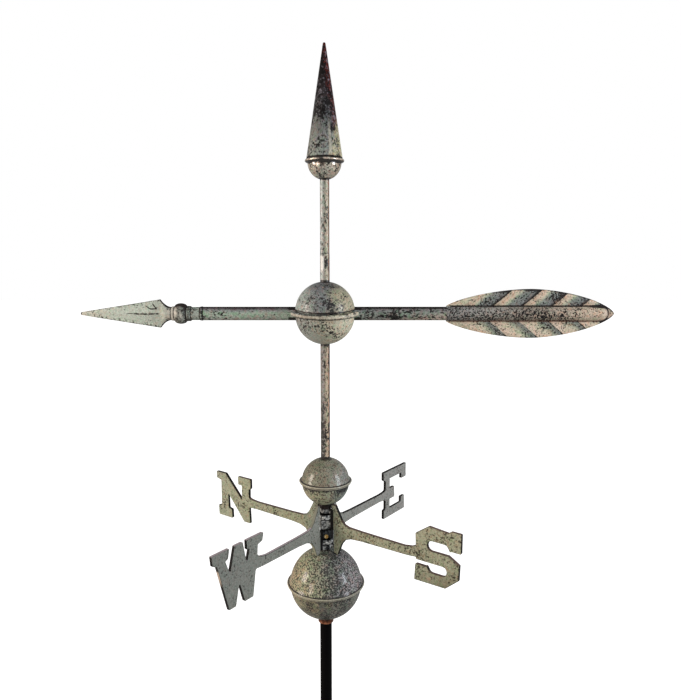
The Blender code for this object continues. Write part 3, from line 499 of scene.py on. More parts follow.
# Flecks crowd in the bowl's spots and in a ring on the flange.
def bowlCrowd(x, y, z):
    return spots(x, z, ball["bowlSpots"]) + 0.42 * bump(np.hypot(x, y), 45.5, 3.5)


# On the dome they crowd in its spots, in a streak that leans as it rises, and on the crown.
def domeCrowd(x, y, z):
    streak = 0.36 * bump(x - 6 + (z - 592) * 0.2, 0, 5.0)
    return spots(x, z, ball["domeSpots"]) + streak + 0.25 * smooth(z, 603, 611)


bent = dict(around=ball["around"], wobble=ball["wobble"], rise=seamRise)
lowerBall = np.vstack([[[tube, flangeTop], [neck - 1, flangeTop], [neck + 3, flangeTop]],
                       arc(ball["flange"] - lip, middle - 0.25, lip, 80, -75, 20),
                       [[radius + 1.8, flangeLow - 0.7], [radius + 0.4, flangeLow - 1.0]],
                       arc(0, middle, radius, -6, -90 + tubeAngle, 48)])
# the groove and the flange's underside are darkened as painted shade, the foot round the tube as dirt and
# shade
grime = near(lowerBall, [(radius + 0.6, flangeTop, 4.6, 1.0), (radius + 1.2, flangeLow - 0.9, 1.9, 1.0),
                         (radius, flangeLow - 2.0, 1.3, 0.7), (tube, middle - radius, 5, 0.8)])
rub = near(lowerBall, [(ball["flange"], middle - 0.6, 2.6, 0.5)])
mesh = turned("ballBowl", lowerBall, grime=grime, rub=rub, crowd=bowlCrowd, **bent)
finishMesh(mesh, ballBowlCopper, "vane", "ball_lower_half")
seat = flangeTop + gap
domeZ = seat + ball["groove"]
upperBall = np.vstack([arc(0, domeZ, radius, 90 - tubeAngle, 4, 60),
                       arc(radius - 1.0, domeZ + 0.5, 1.0, 0, -90, 8),
                       [[neck, domeZ - 0.4], [neck, seat], [tube, seat]]])
# the dome's edge over the groove is darkened as painted shade, its top round the tube as dirt and shade
grime = near(upperBall, [(neck + 1.9, domeZ - 0.4, 3.0, 1.0), (tube, domeZ + radius, 7, 0.8)])
mesh = turned("ballDome", upperBall, grime=grime, crowd=domeCrowd, **bent)
finishMesh(mesh, ballDomeCopper, "vane", "ball_upper_half")
print("centre ball ready")


# Vane tubes, drawn copper tube: cooler and paler on the upper one, browner on the lower one.

tubes = dict(radius=6.35, around=64, lowerFoot=370.7, lowerTop=562.0, upperFoot=581.2, upperTop=759.9,
             shoulder=0.18, shoulderZ=(649, 653), burntZ=639)

# Drawn copper tube, grey-green in front, flecks drawn out along the tube. The ramp across it paints pale
# highlight strips either side of the front and brown painted shade towards both edges.
upperTubeCopper = patina(
    "verdigrisCopperTubePale", wash=(0.97, 1.03, 1.09), span=(-6.5, 6.5), cloud=40, wander=0.07,
    seed=(0.1, 0.9, 0.33), stretch=(1, 1, 0.55),
    ground=[(0.0, "#6f655c"), (0.09, "#8f8b84"), (0.18, "#b6bab6"), (0.38, "#a7aaa3"), (0.52, "#8f8c82"),
            (0.62, "#aca592"), (0.8, "#cfc0a3"), (0.93, "#a88c75"), (1.0, "#7f5c49")],
    speck=2.8, speckFrom=0.570, crowding=0.07, blotch=40, pit=4.2, pitFrom=0.61, glimpseColour="#a5694f",
    rubColour="#e9eae6")
# The same tube lower down, dark and brown. The ramp across it paints a warm highlight strip on its right
# and painted shade towards both edges.
lowerTubeCopper = patina(
    "verdigrisCopperTubeBrown", wash=(1.39, 1.37, 1.48), span=(-6.5, 6.5), cloud=40, wander=0.07,
    seed=(0.8, 0.2, 0.61), stretch=(1, 1, 0.55), fineDepth=0.42,
    ground=[(0.0, "#55554f"), (0.12, "#6d6d69"), (0.42, "#787873"), (0.56, "#8a8473"), (0.8, "#b8a88c"),
            (0.92, "#9c7c63"), (1.0, "#7b5642")],
    speck=2.6, speckFrom=0.540, crowding=0.06, blotch=35, pit=4.0, pitFrom=0.61, glimpseColour="#b08a70")


# Flecks crowd on the left of the foot, in a ring at 515 mm and along the right side.
def lowTubeCrowd(x, y, z):
    leftFoot = 0.32 * (1 - smooth(z, 405, 475)) * (1 - smooth(x, -1.5, 2.5))
    return leftFoot + 0.15 * bump(z, 515, 12) + 0.3 * smooth(x, 4.2, 5.6)


radius, foot, top = tubes["radius"], tubes["lowerFoot"], tubes["lowerTop"]
heights = np.concatenate([np.linspace(foot, 376, 8), np.linspace(380, top, 40)])[::-1]
lowTube = np.vstack([[[bores["spindle"], top]], np.stack([0 * heights + radius, heights], 1),
                     [[bores["spindle"], foot]]])
# the foot on the globe is darkened as dirt and painted shade, and a dark ring runs at 529 mm
grime = near(lowTube, [(radius, foot, 4, 1.0), (radius, 529, 4, 0.9)])
mesh = turned("vaneTubeLower", lowTube, tubes["around"], grime=grime, crowd=lowTubeCrowd)
finishMesh(mesh, lowerTubeCopper, "vane", "vane_tube_lower")

# a solder joint 80 mm above the arrow leaves a slight shoulder and a dark burnt patch; a pale strip on its
# left is a painted highlight
foot, top = tubes["upperFoot"], tubes["upperTop"]
heights = np.concatenate([np.linspace(foot, 610, 6), np.linspace(613, 665, 70), np.linspace(668, 744, 16),
                          np.linspace(746, top, 16)])
radii = radius - tubes["shoulder"] * smooth(heights, *tubes["shoulderZ"])
highTube = np.vstack([[[0, foot]], np.stack([radii, heights], 1), [[0, top]]])
turn = turnOf(tubes["around"])
heights = highTube[:, 1:]
burnt = bump(heights, tubes["burntZ"], 10) * strip(turn, -72, 0.16)
# where the tube meets the ball and the cup, and at the shoulder, it is darkened as dirt and painted shade
grime = near(highTube, [(radius, 614.3, 3.5, 1.0), (radius, 749, 4, 1.0), (radius, 652, 1.5, 0.6)])
grime = np.maximum(grime[:, None], 0.55 * burnt)
rub = between(heights, 626, 632, 647, 650) * strip(turn, -127, 0.11)
crowd = 0.7 * burnt + 0.2 * strip(turn, -80, 0.05) * smooth(heights, 652, 690)
mesh = turned("vaneTubeUpper", highTube, tubes["around"], grime=grime, rub=rub, crowd=crowd)
finishMesh(mesh, upperTubeCopper, "vane", "vane_tube_upper")


# Finial: a spun cup with a rolled ring, and a long cone, sooty towards its tip.

finial = dict(z=771.5, ring=25.8, ringHalf=2.1, cup=22.3, cone=23.8, apex=918.4, tip=1.9, around=112,
              edgeZ=774, coneSpots=[(-3, 831, 8.8, 15.4, 0.26), (-14, 783, 8, 8, 0.22)],
              # height, waves of (size, count, start), width, angle, where it fades in, strength
              cracks=[(788, [(2.4, 5, 0), (1.1, 13, 1)], 0.9, -122, (0.5, 0.75), 0.9),
                      (794, [(1.5, 7, 2)], 0.7, -118, (0.6, 0.85), 0.75)])

# Sheet copper rolled to a cone: grey-green foot, bluish soot, then black, with a red-brown right edge.
coneCopper = patina(
    "darkenedCopperCone", wash=(1.26, 1.25, 1.22), along=(0.0, 0, 1), span=(774, 918), cloud=24,
    wander=0.16, flutter=0.16, seed=(0.42, 0.77, 0.05), stretch=(1, 1, 0.7), fineDepth=0.46,
    ground=[(0.0, "#7f8783"), (0.22, "#7b827f"), (0.33, "#6d716f"), (0.44, "#54575a"), (0.55, "#3d3c40"),
            (0.68, "#231e21"), (0.85, "#120c0d"), (1.0, "#0b0707")],
    veils=[((1, 0, 0.154), 133.5, 139.5, 0.9, "#5a1b11"), ((1, 0, -0.22), -168, -160, 0.95, "#b9b394")],
    speck=2.8, speckFrom=0.560, speckSoft=0.035, speckColour="#0c0909", blotch=20, crowding=0.05, pit=5.5,
    pitFrom=0.625, glimpse=3.0, glimpseFrom=0.53, glimpseDepth=0.75, glimpseColour="#84818a", roughness=0.5,
    specular=0.12, relief=0.5, lacquer=0.06)
# Spun copper under heavy lacquer: shiny, half metallic, with pink bare patches among black blots.
cupCopper = patina(
    "verdigrisCopperShiny", wash=(1.72, 1.86, 1.90), span=(-22, 22), cloud=12, wander=0.3,
    seed=(0.25, 0.06, 0.9), fineDepth=0.52, ground=[(0.0, "#a09789"), (0.5, "#8a867e"), (1.0, "#b3a18c")],
    speck=3.2, speckFrom=0.535, speckSoft=0.03, speckDepth=0.97, blotch=12, crowding=0.09, pit=5.5,
    pitFrom=0.59, glimpseColour="#c79c84", glimpseFrom=0.56, rubColour="#cbb8a6", roughness=0.25,
    metallic=0.35, lacquer=0.9, lacquerRoughness=0.13)
middle, ringR, cupR, coneR = (finial[key] for key in ("z", "ring", "cup", "cone"))
turn = turnOf(finial["around"])
ringLow = middle - finial["ringHalf"]
bore = tubes["radius"] + gap
cup = np.vstack([[[0, middle + 1.2], [coneR - 1.5, middle + 1.2]],
                 arc(ringR - finial["ringHalf"], middle, finial["ringHalf"], 125, -100, 22),
                 arc(0, ringLow, cupR, -3, -90 + boreAngle(bore, cupR), 32),
                 [[bore, middle - cupR / 2 + gap], [0, middle - cupR / 2 + gap]]])
# a dark run down the middle of the cup's front, under the ring
run = 0.75 * bump(np.cos(turn + 0.1), -0.05, 0.24) * (np.sin(turn) < 0) * smooth(cup[:, 1:], 754, 767)
# the crease under the cone, the ring's underside and the foot are darkened as dirt and painted shade
grime = near(cup, [(coneR - 0.4, middle + 2.0, 3.0, 1.0), (cupR + 0.3, ringLow - 0.9, 3.0, 1.0),
                   (ringR - 0.7, middle - 2.0, 1.6, 0.85), (bore, ringLow - cupR, 5.5, 1.0)])
rub = near(cup, [(ringR, middle + 0.3, 1.8, 0.6)])
mesh = turned("finialCup", cup, finial["around"], grime=np.maximum(grime[:, None], run), rub=rub)
finishMesh(mesh, cupCopper, "vane", "finial_cup")

base, tipR = middle + finial["ringHalf"] + gap, finial["tip"]
shoulder = finial["apex"] - tipR
share = np.linspace(0, 1, 90)[:, None] ** 1.15  # rings lie closer together near the base
sides = (1 - share) * [coneR, base] + share * [tipR, shoulder]
cap = arc(0, shoulder, tipR, 8, 90, 8)
cap[-1, 0] = 0
cone = np.vstack([[[0, base], [coneR - 0.5, base]], sides, cap])
heights = cone[:, 1:]


# Flecks crowd in the spots, above 808 mm, and in a strip down each side that leans in as the cone narrows.
def coneCrowd(x, y, z):
    rightEdge = 0.2 * bump(x - 17 + (z - finial["edgeZ"]) * 0.15, 0, 5)
    leftEdge = 0.3 * bump(x + 21 - (z - finial["edgeZ"]) * 0.15, 0, 2.5) * smooth(z, 800, 830)
    return spots(x, z, finial["coneSpots"]) + 0.2 * smooth(z, 808, 835) + rightEdge + leftEdge


# fine cracks near the base, where the patina crazed, as dark lines that wander round the cone
crack = 0
for height, waves, width, angle, fade, strength in finial["cracks"]:
    line = height + sum(size * np.sin(count * turn + start) for size, count, start in waves)
    crack = crack + strength * bump(heights, line, width) * smooth(np.cos(turn - radians(angle)), *fade)
# the base where it meets the cup is darkened as dirt and painted shade, and the cracks join it
grime = np.maximum(near(cone, [(coneR, base, 3.0, 1.0)])[:, None], crack)
# a paler strip from the base to halfway up: a painted highlight, the reflection of a lamp down the cone
rub = 0.75 * strip(turn, -69, 0.004) * between(heights, 776, 779, 800, 830)
mesh = turned("finialCone", cone, finial["around"], wobble=0.003, grime=grime, crowd=coneCrowd, rub=rub)
finishMesh(mesh, coneCopper, "vane", "finial_cone")
print("finial ready")


# Arrow shaft: drawn tube with a soldered seam at the head's socket.

shaft = dict(radius=9.2, start=-168.2, end=188.4, seam=0.55, around=72)

# Drawn copper tube gone dull, with a green face and paler underneath towards the feather. The ramp up it
# darkens the top to brown as painted shade.
shaftCopper = patina(
    "agedCopperShaft", wash=(1.43, 1.40, 1.67), along=(0, 0, 1), span=(562, 581), cloud=30, wander=0.12,
    seed=(0.11, 0.36, 0.74), stretch=(0.7, 1, 1), tint=5.5, tints=("#c8e6ca", "#f6d8d2"), fineDepth=0.5,
    ground=[(0.0, "#7c7e72"), (0.3, "#87927f"), (0.6, "#87967f"), (0.8, "#7b8176"), (0.92, "#565350"),
            (1.0, "#2a2322")],
    veils=[((1, 0, 0), 20, 70, 0.7, "#69685f"), ((0.12, 0, -1), -557, -548, 0.85, "#a29680")],
    speck=2.5, speckFrom=0.570, speckSoft=0.03, speckColour="#15110f", crowding=0.06, blotch=26, pit=4.4,
    pitFrom=0.62, glimpseColour="#93735d", roughness=0.5, specular=0.2, lacquer=0.06)


# Flecks crowd on the feather's side, round x 122 below the top, on the top, in one spot, and in a line
# in front below the axis.
def shaftCrowd(x, y, z):
    return (0.12 * smooth(x, 30, 60) + 0.22 * bump(x, 122, 30) * (z < 577) + 0.2 * smooth(z, 575, 580)
            + spots(x, z, [(94, 565, 6.6, 3, 0.35)]) + 0.2 * bump(z, 567.5, 2) * smooth(x, 50, 60))


radius, start, end = shaft["radius"], shaft["start"], shaft["end"]
stations = np.concatenate([[start], np.linspace(start + 0.2, start + 6, 26),
                           np.linspace(start + 8, -56, 40), np.linspace(-55, -44, 12),
                           np.linspace(-40, 40, 10), np.linspace(44, 55, 12), np.linspace(56, end, 50)])
radii = radius + shaft["seam"] * bump(stations, start + 2.4, 1.1)
bar = np.vstack([[[0, start]], np.stack([radii, stations], 1), [[0, end]]])
x, up = bar[:, 1:], np.sin(turnOf(shaft["around"]))
# painted shade beside the ball's flange and along the top; dirt at the socket's seam and the solder
atSeam = near(bar, [(radius, start, 1.5, 1.0), (radius, start + 4.4, 1.3, 0.8)])[:, None]
shadeBesideFlange = near(bar, [(radius, -44, 8, 1.0), (radius, 44, 8, 1.0)])[:, None]
shadeBesideFlange = shadeBesideFlange * smooth(np.abs(up - 0.05), 0.3, 0.7)
solder = bump(x, start + 3.2, 2.0) * smooth(-up, 0.75, 0.95)
paintedShade = smooth(x, 40, 48) * smooth(up, 0.5, 0.85) * 0.75
topShade = smooth(x, -75, -50) * smooth(up, 0.7, 0.95) * 0.5
grime = np.max(np.broadcast_arrays(atSeam, shadeBesideFlange, solder, paintedShade, topShade), axis=0)
mesh = turned("arrowShaft", bar, shaft["around"], axis="x", grime=grime, crowd=shaftCrowd)
finishMesh(mesh, shaftCopper, "vane", "arrow_shaft")


# Arrowhead: a ridged blade that draws in to a round neck, bead, ring and socket.

head = dict(point=-329.4, pointRadius=2.3, shoulder=-222.0, shoulderHalf=19.0, neck=-206.5, neckRadius=9.0,
            beadStart=-202.2, beadEnd=-186.2, beadRadius=13.9, beadFoot=9.2, ringEnd=-180.2, ringRadius=10.3,
            socketEnd=-168.5, socketRadius=8.9, ridge=5.0, edge=2.2, pointRidge=2.0, pointEdge=1.3,
            around=128, slope=0.94,  # sine of the angle where the blade's slope meets its square edge
            creases=[(-206.4, 0.7), (-202.3, 0.9), (-186.2, 1.1), (-180.0, 0.7)],
            scratches=[((-240, 10), (-235, 6.4), 0.9), ((-235, 6.4), (-226, 6.6), 1.2),
                       ((-231, 12.5), (-227, 7.5), 1.1)])


# Half height and roundness at x: a straight taper, a hollow curve to the neck, then turned rings.
def headShape(x):
    p = head
    taper = 2.5 + (p["shoulderHalf"] - 2.5) * (x - p["point"] - 4) / (p["shoulder"] - p["point"] - 4)
    tip = p["pointRadius"] * np.sqrt(np.clip(1 - ((x - p["point"] - 2.4) / 2.5) ** 2, 0.02, 1))
    half = np.where(x < p["point"] + 2.4, tip, np.maximum(taper, 2.1))
    fall = np.clip((x - p["shoulder"]) / (p["neck"] - p["shoulder"]), 0, 1)
    hollow = p["neckRadius"] + (p["shoulderHalf"] - p["neckRadius"]) * (1 - fall) ** 2.1
    half = np.where(x > p["shoulder"], hollow, half)
    half = np.where(x > p["neck"], p["neckRadius"] + 0.7 * smooth(x, p["neck"], p["neck"] + 0.6), half)
    middle, reach = (p["beadStart"] + p["beadEnd"]) / 2, (p["beadEnd"] - p["beadStart"]) / 2
    swell = np.sqrt(np.clip(1 - ((x - middle) / reach) ** 2, 0, 1))
    bead = p["beadFoot"] + (p["beadRadius"] - p["beadFoot"]) * swell ** 0.8
    half = np.where((x > p["beadStart"]) & (x < p["beadEnd"]), bead, half)
    ring = p["ringRadius"] - 0.9 * smooth(np.abs(x - (p["beadEnd"] + p["ringEnd"]) / 2), 2.1, 3.0)
    half = np.where((x >= p["beadEnd"]) & (x < p["ringEnd"]), ring, half)
    half = np.where(x >= p["ringEnd"], p["socketRadius"], half)
    roundness = np.maximum(1 - smooth(x, p["point"] + 4, p["point"] + 12),
                           smooth(x, p["shoulder"], p["neck"]))
    return half, roundness


point, shoulder, neck, slope = (head[key] for key in ("point", "shoulder", "neck", "slope"))
stations = np.concatenate([point + 2.5 * (1 - np.cos(np.linspace(0, pi / 2, 10))),
                           np.linspace(point + 3, shoulder, 150), np.linspace(shoulder + 0.4, neck, 40),
                           np.linspace(neck + 0.3, head["socketEnd"], 130)])
turn = turnOf(head["around"])
x = stations[:, None] + 0 * turn
half, roundness = headShape(x)
across, up = np.cos(turn), np.sin(turn)
# the blade's section: a slope from the ridge out to an edge, both thicker towards the shoulder
along = np.clip((x - point) / (shoulder - point), 0, 1)
ridge = head["pointRidge"] + (head["ridge"] - head["pointRidge"]) * along
edge = head["pointEdge"] + (head["edge"] - head["pointEdge"]) * along
rise = 1 - np.clip(np.abs(up) / slope, 0, 1)
bladeY = np.where(np.abs(up) < slope, np.sign(across) * (edge + (ridge - edge) * rise ** 1.15),
                  edge * across / sqrt(1 - slope ** 2))
bladeY = bladeY * (1 - roundness) + half * across * roundness
bladeZ = half * (np.clip(up / slope, -1, 1) * (1 - roundness) + up * roundness)
points = np.stack([x, bladeY, arrowZ + bladeZ], -1) * mm
# dirt along the ridge, the edges and the creases, painted shade on the bead's top and underside with two
# dark patches, scratches in front and a dark point
fromEdge = half - np.abs(bladeZ)
onRidge = bump(bladeZ - 0.5 * np.sin(x / 9), 0, 1.0 + 0.5 * smooth(x, -262, -250)) * (1 - roundness)
onRidge = onRidge * between(x, -288, -255, -226, -220) * (0.95 - 0.25 * np.sin(x / 3.1) ** 2)
onEdge = 0.64 * bump(fromEdge, 0, 1.3) * between(x, -324, -306, -208, -206)
inCurve = bump(fromEdge, 0, 1.2) * between(x, -223, -221, -210, -206)
creases = sum(bump(x, place, width) for place, width in head["creases"])
onBead = between(x, -202.5, -201, -187.5, -186)
paintedShade = onBead * (0.12 + 0.75 * smooth(up, 0.55, 0.85) + 0.6 * smooth(-up, 0.7, 0.95)
                  + 0.62 * bump(x, -190, 3) * bump(up, 0.35, 0.3)
                  + 0.6 * bump(x, -197, 3.0) * bump(up, -0.45, 0.2))
scratch = np.max([stroke(x, bladeZ, *mark) for mark in head["scratches"]], axis=0) * (bladeY < 0)
tipDirt = 0.75 * (1 - smooth(x, -328.3, -324.5))
grime = onRidge + onEdge + inCurve + creases + paintedShade + 0.95 * scratch + tipDirt
crowd = (0.4 * bump(fromEdge, 0, 3.5) * smooth(x, -320, -296) + 0.3 * onBead + 0.55 * bump(x, -210, 3)
         + 0.45 * bump(x, -183, 4) + 0.15 * smooth(x, -186, -180))
# the pale neck band and the pale patches on the bead are painted highlights
rub = (between(x, -206, -205.5, -203.3, -202.8) + 0.95 * bump(x, -199, 2.0) * bump(up, 0.15, 0.4)
       + 0.8 * bump(x, -191.5, 2.0) * bump(up, -0.15, 0.22) + 0.4 * bump(x, -209, 1.6))
# Formed copper, the palest piece: chalky cream to green, almost matt, with few fine flecks.
headCopper = patina(
    "verdigrisCopperPaleGreen", wash=(1.09, 1.13, 1.24), span=(-330, -168), cloud=22, wander=0.12,
    flutter=0.08, seed=(0.55, 0.21, 0.44), tint=3.5, tints=("#e6f3e4", "#f8ece2"), fineDepth=0.32,
    ground=[(0.0, "#cabda6"), (0.12, "#c2c0ac"), (0.3, "#bbc0ae"), (0.6, "#b4bbaa"), (0.72, "#a8ab9c"),
            (0.78, "#95958a"), (0.84, "#7d7a70"), (0.9, "#85857a"), (0.94, "#93988a"), (1.0, "#989f91")],
    speck=2.2, speckFrom=0.605, speckDepth=0.85, speckColour="#1f1814", crowding=0.04, pit=4.0,
    pitFrom=0.665, glimpseFrom=0.6, glimpseColour="#c9bca5", grimeColour="#201714", rubColour="#d9d6c9",
    roughness=0.55, specular=0.25, lacquer=0.08)
mesh = gridMesh("arrowPoint", points, grime=grime, rub=rub, crowd=crowd)
finishMesh(mesh, headCopper, "vane", "arrowhead", sharp=30)
print("arrow shaft and head ready")


# Feather: pressed from sheet in two halves, with a half-round quill and swept barbs on both faces.

feather = dict(start=163.4, end=389.5, widest=277.5, half=33.1, neck=10.4, rim=1.3, rimShare=0.03,
               quill=10.0, quillEnd=381.0, shaft=9.25, spacing=39.8, crest=223.4, sweep=1.2, relief=2.6,
               lengthwise=420, across=120)


# Half width: from the quill's side it swells to the widest place, then closes in a point.
def featherHalf(x):
    p = feather
    front = np.clip((p["widest"] - x) / (p["widest"] - p["start"]), 0, 1)
    back = np.clip((x - p["widest"]) / (p["end"] - p["widest"]), 0, 1)
    return np.where(x < p["widest"], p["neck"] + (p["half"] - p["neck"]) * (1 - front ** 1.8) ** 0.8,
                    p["half"] * np.clip(1 - back ** 1.7, 0.0006, 1) ** 0.65)


# Place within a barb, 0 to 1 from crest to crest, and its number, along lines swept towards the tail.
def featherPhase(x, z):
    out = np.abs(z) - feather["quill"]
    start = feather["crest"] + np.where(z > 0, 2.4, -2.0)
    turns = (x - out * feather["sweep"] - start) / feather["spacing"]
    return turns % 1.0, np.floor(turns)


# Half thickness: a rim, a half-round quill, and between them hollows that rise to a sharp crest each.
def featherHeight(x, z, phase):
    p = feather
    beyond = np.clip((x - (p["quillEnd"] - p["quill"])) / p["quill"], 0, 1)
    swell = p["shaft"] + (p["quill"] - p["shaft"]) * smooth(x, p["start"], p["start"] + 14)
    quill = swell * np.sqrt(np.clip(1 - beyond ** 2, 0, 1))
    tube = np.sqrt(np.clip(quill ** 2 - z ** 2, 0, None))
    wave = 1 - np.abs(np.sin(pi * phase)) ** 0.9
    atQuill = 0.25 + 0.75 * smooth(np.abs(z) - p["quill"], 0, 5)
    atRim = 0.25 + 0.75 * smooth(featherHalf(x) - np.abs(z), 0, 6)
    fade = atQuill * atRim * (1 - smooth(x, p["quillEnd"] - 24, p["quillEnd"] - 10))
    return np.maximum(tube, p["rim"] + p["relief"] * wave * fade)


# Values of the front face, then of the back face, which mirrors it.
def bothFaces(values):
    return np.concatenate([values, values[:, ::-1]], 1)


s = np.linspace(0, 1, feather["lengthwise"])[:, None]
v = np.linspace(-1, 1, feather["across"])[None, :]
s = s + 0.035 * np.sin(2 * pi * s) / pi  # points lie a little closer together in the middle
x = feather["start"] + (feather["end"] - feather["start"]) * s + 0 * v
z = featherHalf(x) * np.sign(v) * (1 - (1 - np.abs(v)) ** 1.08)
phase, number = featherPhase(x, z)
outmost = np.clip((np.abs(v) - 1 + feather["rimShare"]) / feather["rimShare"], 0, 1)
height = featherHeight(x, z, phase) * np.sqrt(np.clip(1 - outmost ** 2, 0.08, 1))
front = np.stack([x, -height, arrowZ + z], -1)
back = np.stack([x, height, arrowZ + z], -1)[:, ::-1]
# dirt beside the quill, painted shade at the crests, dirt round the quill's end and the tip, on the rim and
# barbs' ends
upper = z > 0
onBarb = number >= -1
aside = np.abs(z) - feather["quill"]
fromRim = featherHalf(x) - np.abs(z)
line = bump(aside, 0.2, np.where(upper, 1.3, 1.1)) * between(x, 164, 172, 374, 379)
beforeCrest = np.where(onBarb, (1 - phase) * feather["spacing"], 99)
crestShade = smooth(aside, -0.3, 0.8) * bump(beforeCrest, 0.6, 1.5)
crestShade = crestShade * np.where(upper, 0.7, 0.35 + 0.45 * smooth(x, 285, 310))
quillRound = np.hypot(x - (feather["quillEnd"] - feather["quill"]), z)
endLip = bump(quillRound, feather["quill"], 1.9) * smooth(x, 368, 374)
tipLine = 0.8 * smooth(x, 366, 376) * bump(np.minimum(fromRim, 1.3 * (feather["end"] - x)), 0.3, 1.9)
rimLine = bump(fromRim, 0.2, 1.7) * (1 - smooth(x, 384, 388))
rimLine = rimLine * np.where(upper, 0.48 + 0.14 * smooth(x, 215, 240), 0.42)
barbEnd = np.where(upper, smooth(phase, 0.55, 0.85), 0.6 * smooth(phase, 0.85, 0.97))
barbEnd = barbEnd * bump(fromRim, 0.5, 2.8) * smooth(x, 212, 235)
blackEnds = np.maximum(barbEnd, 1.1 * bump(fromRim, 0.5, 3.2) * bump(x, 277, 11) * upper)
quillTip = between(x, 352, 366, 377, 381) * bump(z, 9.5, 2.2)
grime = (line * np.where(upper, 1, 0.45) + crestShade + 0.9 * endLip + 0.6 * tipLine + rimLine
         + 0.9 * blackEnds * (x < 350) + quillTip)
rub = np.maximum(np.maximum(line * (z < 0), endLip), tipLine)
onQuill = 0.38 + 0.12 * smooth(-z, -2, 5) - 0.5 * smooth(x, 322, 366) + spots(x, z, [(275, 1, 42, 5, 0.25)])
crowd = np.where(aside < 0, onQuill, np.where(upper, 0.33, 0.22) * smooth(phase, 0.4, 0.55) * onBarb)
barb = np.where(onBarb, np.where(upper, phase, 0.08 + 0.5 * phase), 0.22 * phase + 0.16)
marks = dict(grime=grime, rub=rub, crowd=crowd, barb=barb,
             onSheet=smooth(aside, -0.2, 0.6) * (1 - smooth(x, 376, 380)))
mesh = gridMesh("pressedFeather", np.concatenate([front, back], 1) * mm,
                **{key: bothFaces(values) for key, values in marks.items()})
# Pressed sheet copper. Across each barb a ramp paints the light and shade of its hollow, from a tan lit face
# through sage to a slate shaded face, with a black line of painted shade at the crest. The quill is grey to
# tan with red-brown rubbed lines beside it.
featherCopper = patina(
    "verdigrisCopperFeather", wash=(1.23, 1.23, 1.26), along=(1, 0, -0.9), span=(-345, -118), cloud=24,
    wander=0.12, seed=(0.9, 0.63, 0.27), tints=("#e0efdf", "#fae5d6"),
    ground=[(0.0, "#808180"), (0.25, "#8a8780"), (0.5, "#8d8579"), (0.7, "#a09484"), (0.85, "#b1a28f"),
            (1.0, "#bbaa96")],
    barbs=[(0.0, "#4a4039"), (0.06, "#b5a38e"), (0.32, "#c2b09a"), (0.42, "#bab49e"), (0.50, "#959a88"),
           (0.58, "#7c817b"), (0.93, "#717575"), (0.98, "#575856"), (1.0, "#3a3634")],
    speck=2.1, speckFrom=0.570, speckDepth=0.97, speckColour="#140e0c", crowding=0.05, blotch=24, pit=4.2,
    pitFrom=0.63, glimpseColour="#c4a189", glimpseDepth=0.3, grimeColour="#140c0b", rubColour="#54281b",
    roughness=0.45, specular=0.25, lacquer=0.1)
finishMesh(mesh, featherCopper, "vane", "feather", sharp=50)
print("feather ready")


# Rod: painted steel bar, stepped down to the spindle. Two ferrules of bare copper sit on it.

rod = dict(radius=8.4, edge=0.5, step=186.8, stepEdge=0.6, spindle=4.76, spindleEdge=(0.86, 0.8), top=561.7,
           between=(400, 60), around=72, peel=2.5)

# Satin black enamel on steel bar: near black, with a soft broad sheen and a fine orange-peel skin.
rodPaint, add, shader = newMaterial("satinBlackPaintedSteel")
peel = add("TexNoise", {"Vector": (add("TexCoord"), "Object"), "Scale": 1000 / rod["peel"], "Detail": 3.0})
black = add("ValToRGB", {"Fac": peel}, stops=[(0.35, "#020102"), (0.7, "#050404")])
skin = add("Bump", {"Height": peel, "Strength": 0.25, "Distance": 0.1 * mm})
connect(shader, {"Base Color": black, "Normal": skin, "Roughness": 0.6, "Specular IOR Level": 0.06})
radius, edge, step, spindle, top = (rod[key] for key in ("radius", "edge", "step", "spindle", "top"))
inset, drop = rod["spindleEdge"]
onSpindle, onRod = rod["between"]  # rings that halve the long faces
rodBar = [(0, top), (spindle - inset, top), (spindle, top - drop), (spindle, onSpindle), (spindle, step),
          (radius - edge, step), (radius, step - rod["stepEdge"]), (radius, onRod), (radius, edge),
          (radius - edge, 0), (0, 0)]
mesh = turned("mountingRod", rodBar, rod["around"])
finishMesh(mesh, rodPaint, "base", "mounting_rod")


# Bare turned copper gone brown in places: orange metal, fine turning lines, and dark ends as tarnish and
# painted shade.
# The lines are a wave along Z of the given pitch in mm, coarser than real ones so that they show.
def bareCopper(name, stops, metallic, tarnishSize=5, linePitch=1.2):
    material, add, shader = newMaterial(name)
    here = (add("TexCoord"), "Object")
    tarnish = add("TexNoise", {"Vector": here, "Scale": 1000 / tarnishSize, "Detail": 4.0})
    metal = add("ValToRGB", {"Fac": tarnish}, stops=stops)
    grime = (add("Attribute", attribute_name="grime"), "Fac")
    lines = add("TexWave", {"Vector": here, "Scale": 1000 / linePitch / 6.3}, bands_direction="Z")
    colour = add("MixRGB", {"Fac": grime, "Color1": metal, "Color2": srgb("#160c09")})
    turning = add("Bump", {"Height": (lines, "Fac"), "Strength": 0.12, "Distance": 0.05 * mm})
    connect(shader, {"Base Color": colour, "Normal": turning, "Metallic": metallic, "Roughness": 0.34})
    return material


# Ring with rounded edges, as high as its solid, darkened as dirt and painted shade where it meets its
# neighbours.
def ferrule(name, node, outer, inner, copper, lip=0.9, around=72):
    low, high = (corner[2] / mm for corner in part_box(node))
    ring = np.vstack([[[inner, high]], arc(outer - lip, high - lip, lip, 90, 0, 6),
                      arc(outer - lip, low + lip, lip, 0, -90, 6), [[inner, low]]])
    grime = near(ring, [(outer, high, 2.2, 1.0), (outer - 1, low, 1.5, 0.7)])
    finishMesh(turned(name, ring, around, grime=grime), copper, "base", node)


ferrule("lowerFerrule", "lower_copper_collar", 11.0, bores["rod"],
        bareCopper("bareCopperFerrule", [(0.32, "#4a2a1b"), (0.5, "#94583a"), (0.7, "#cf8f6b")], 0.6))
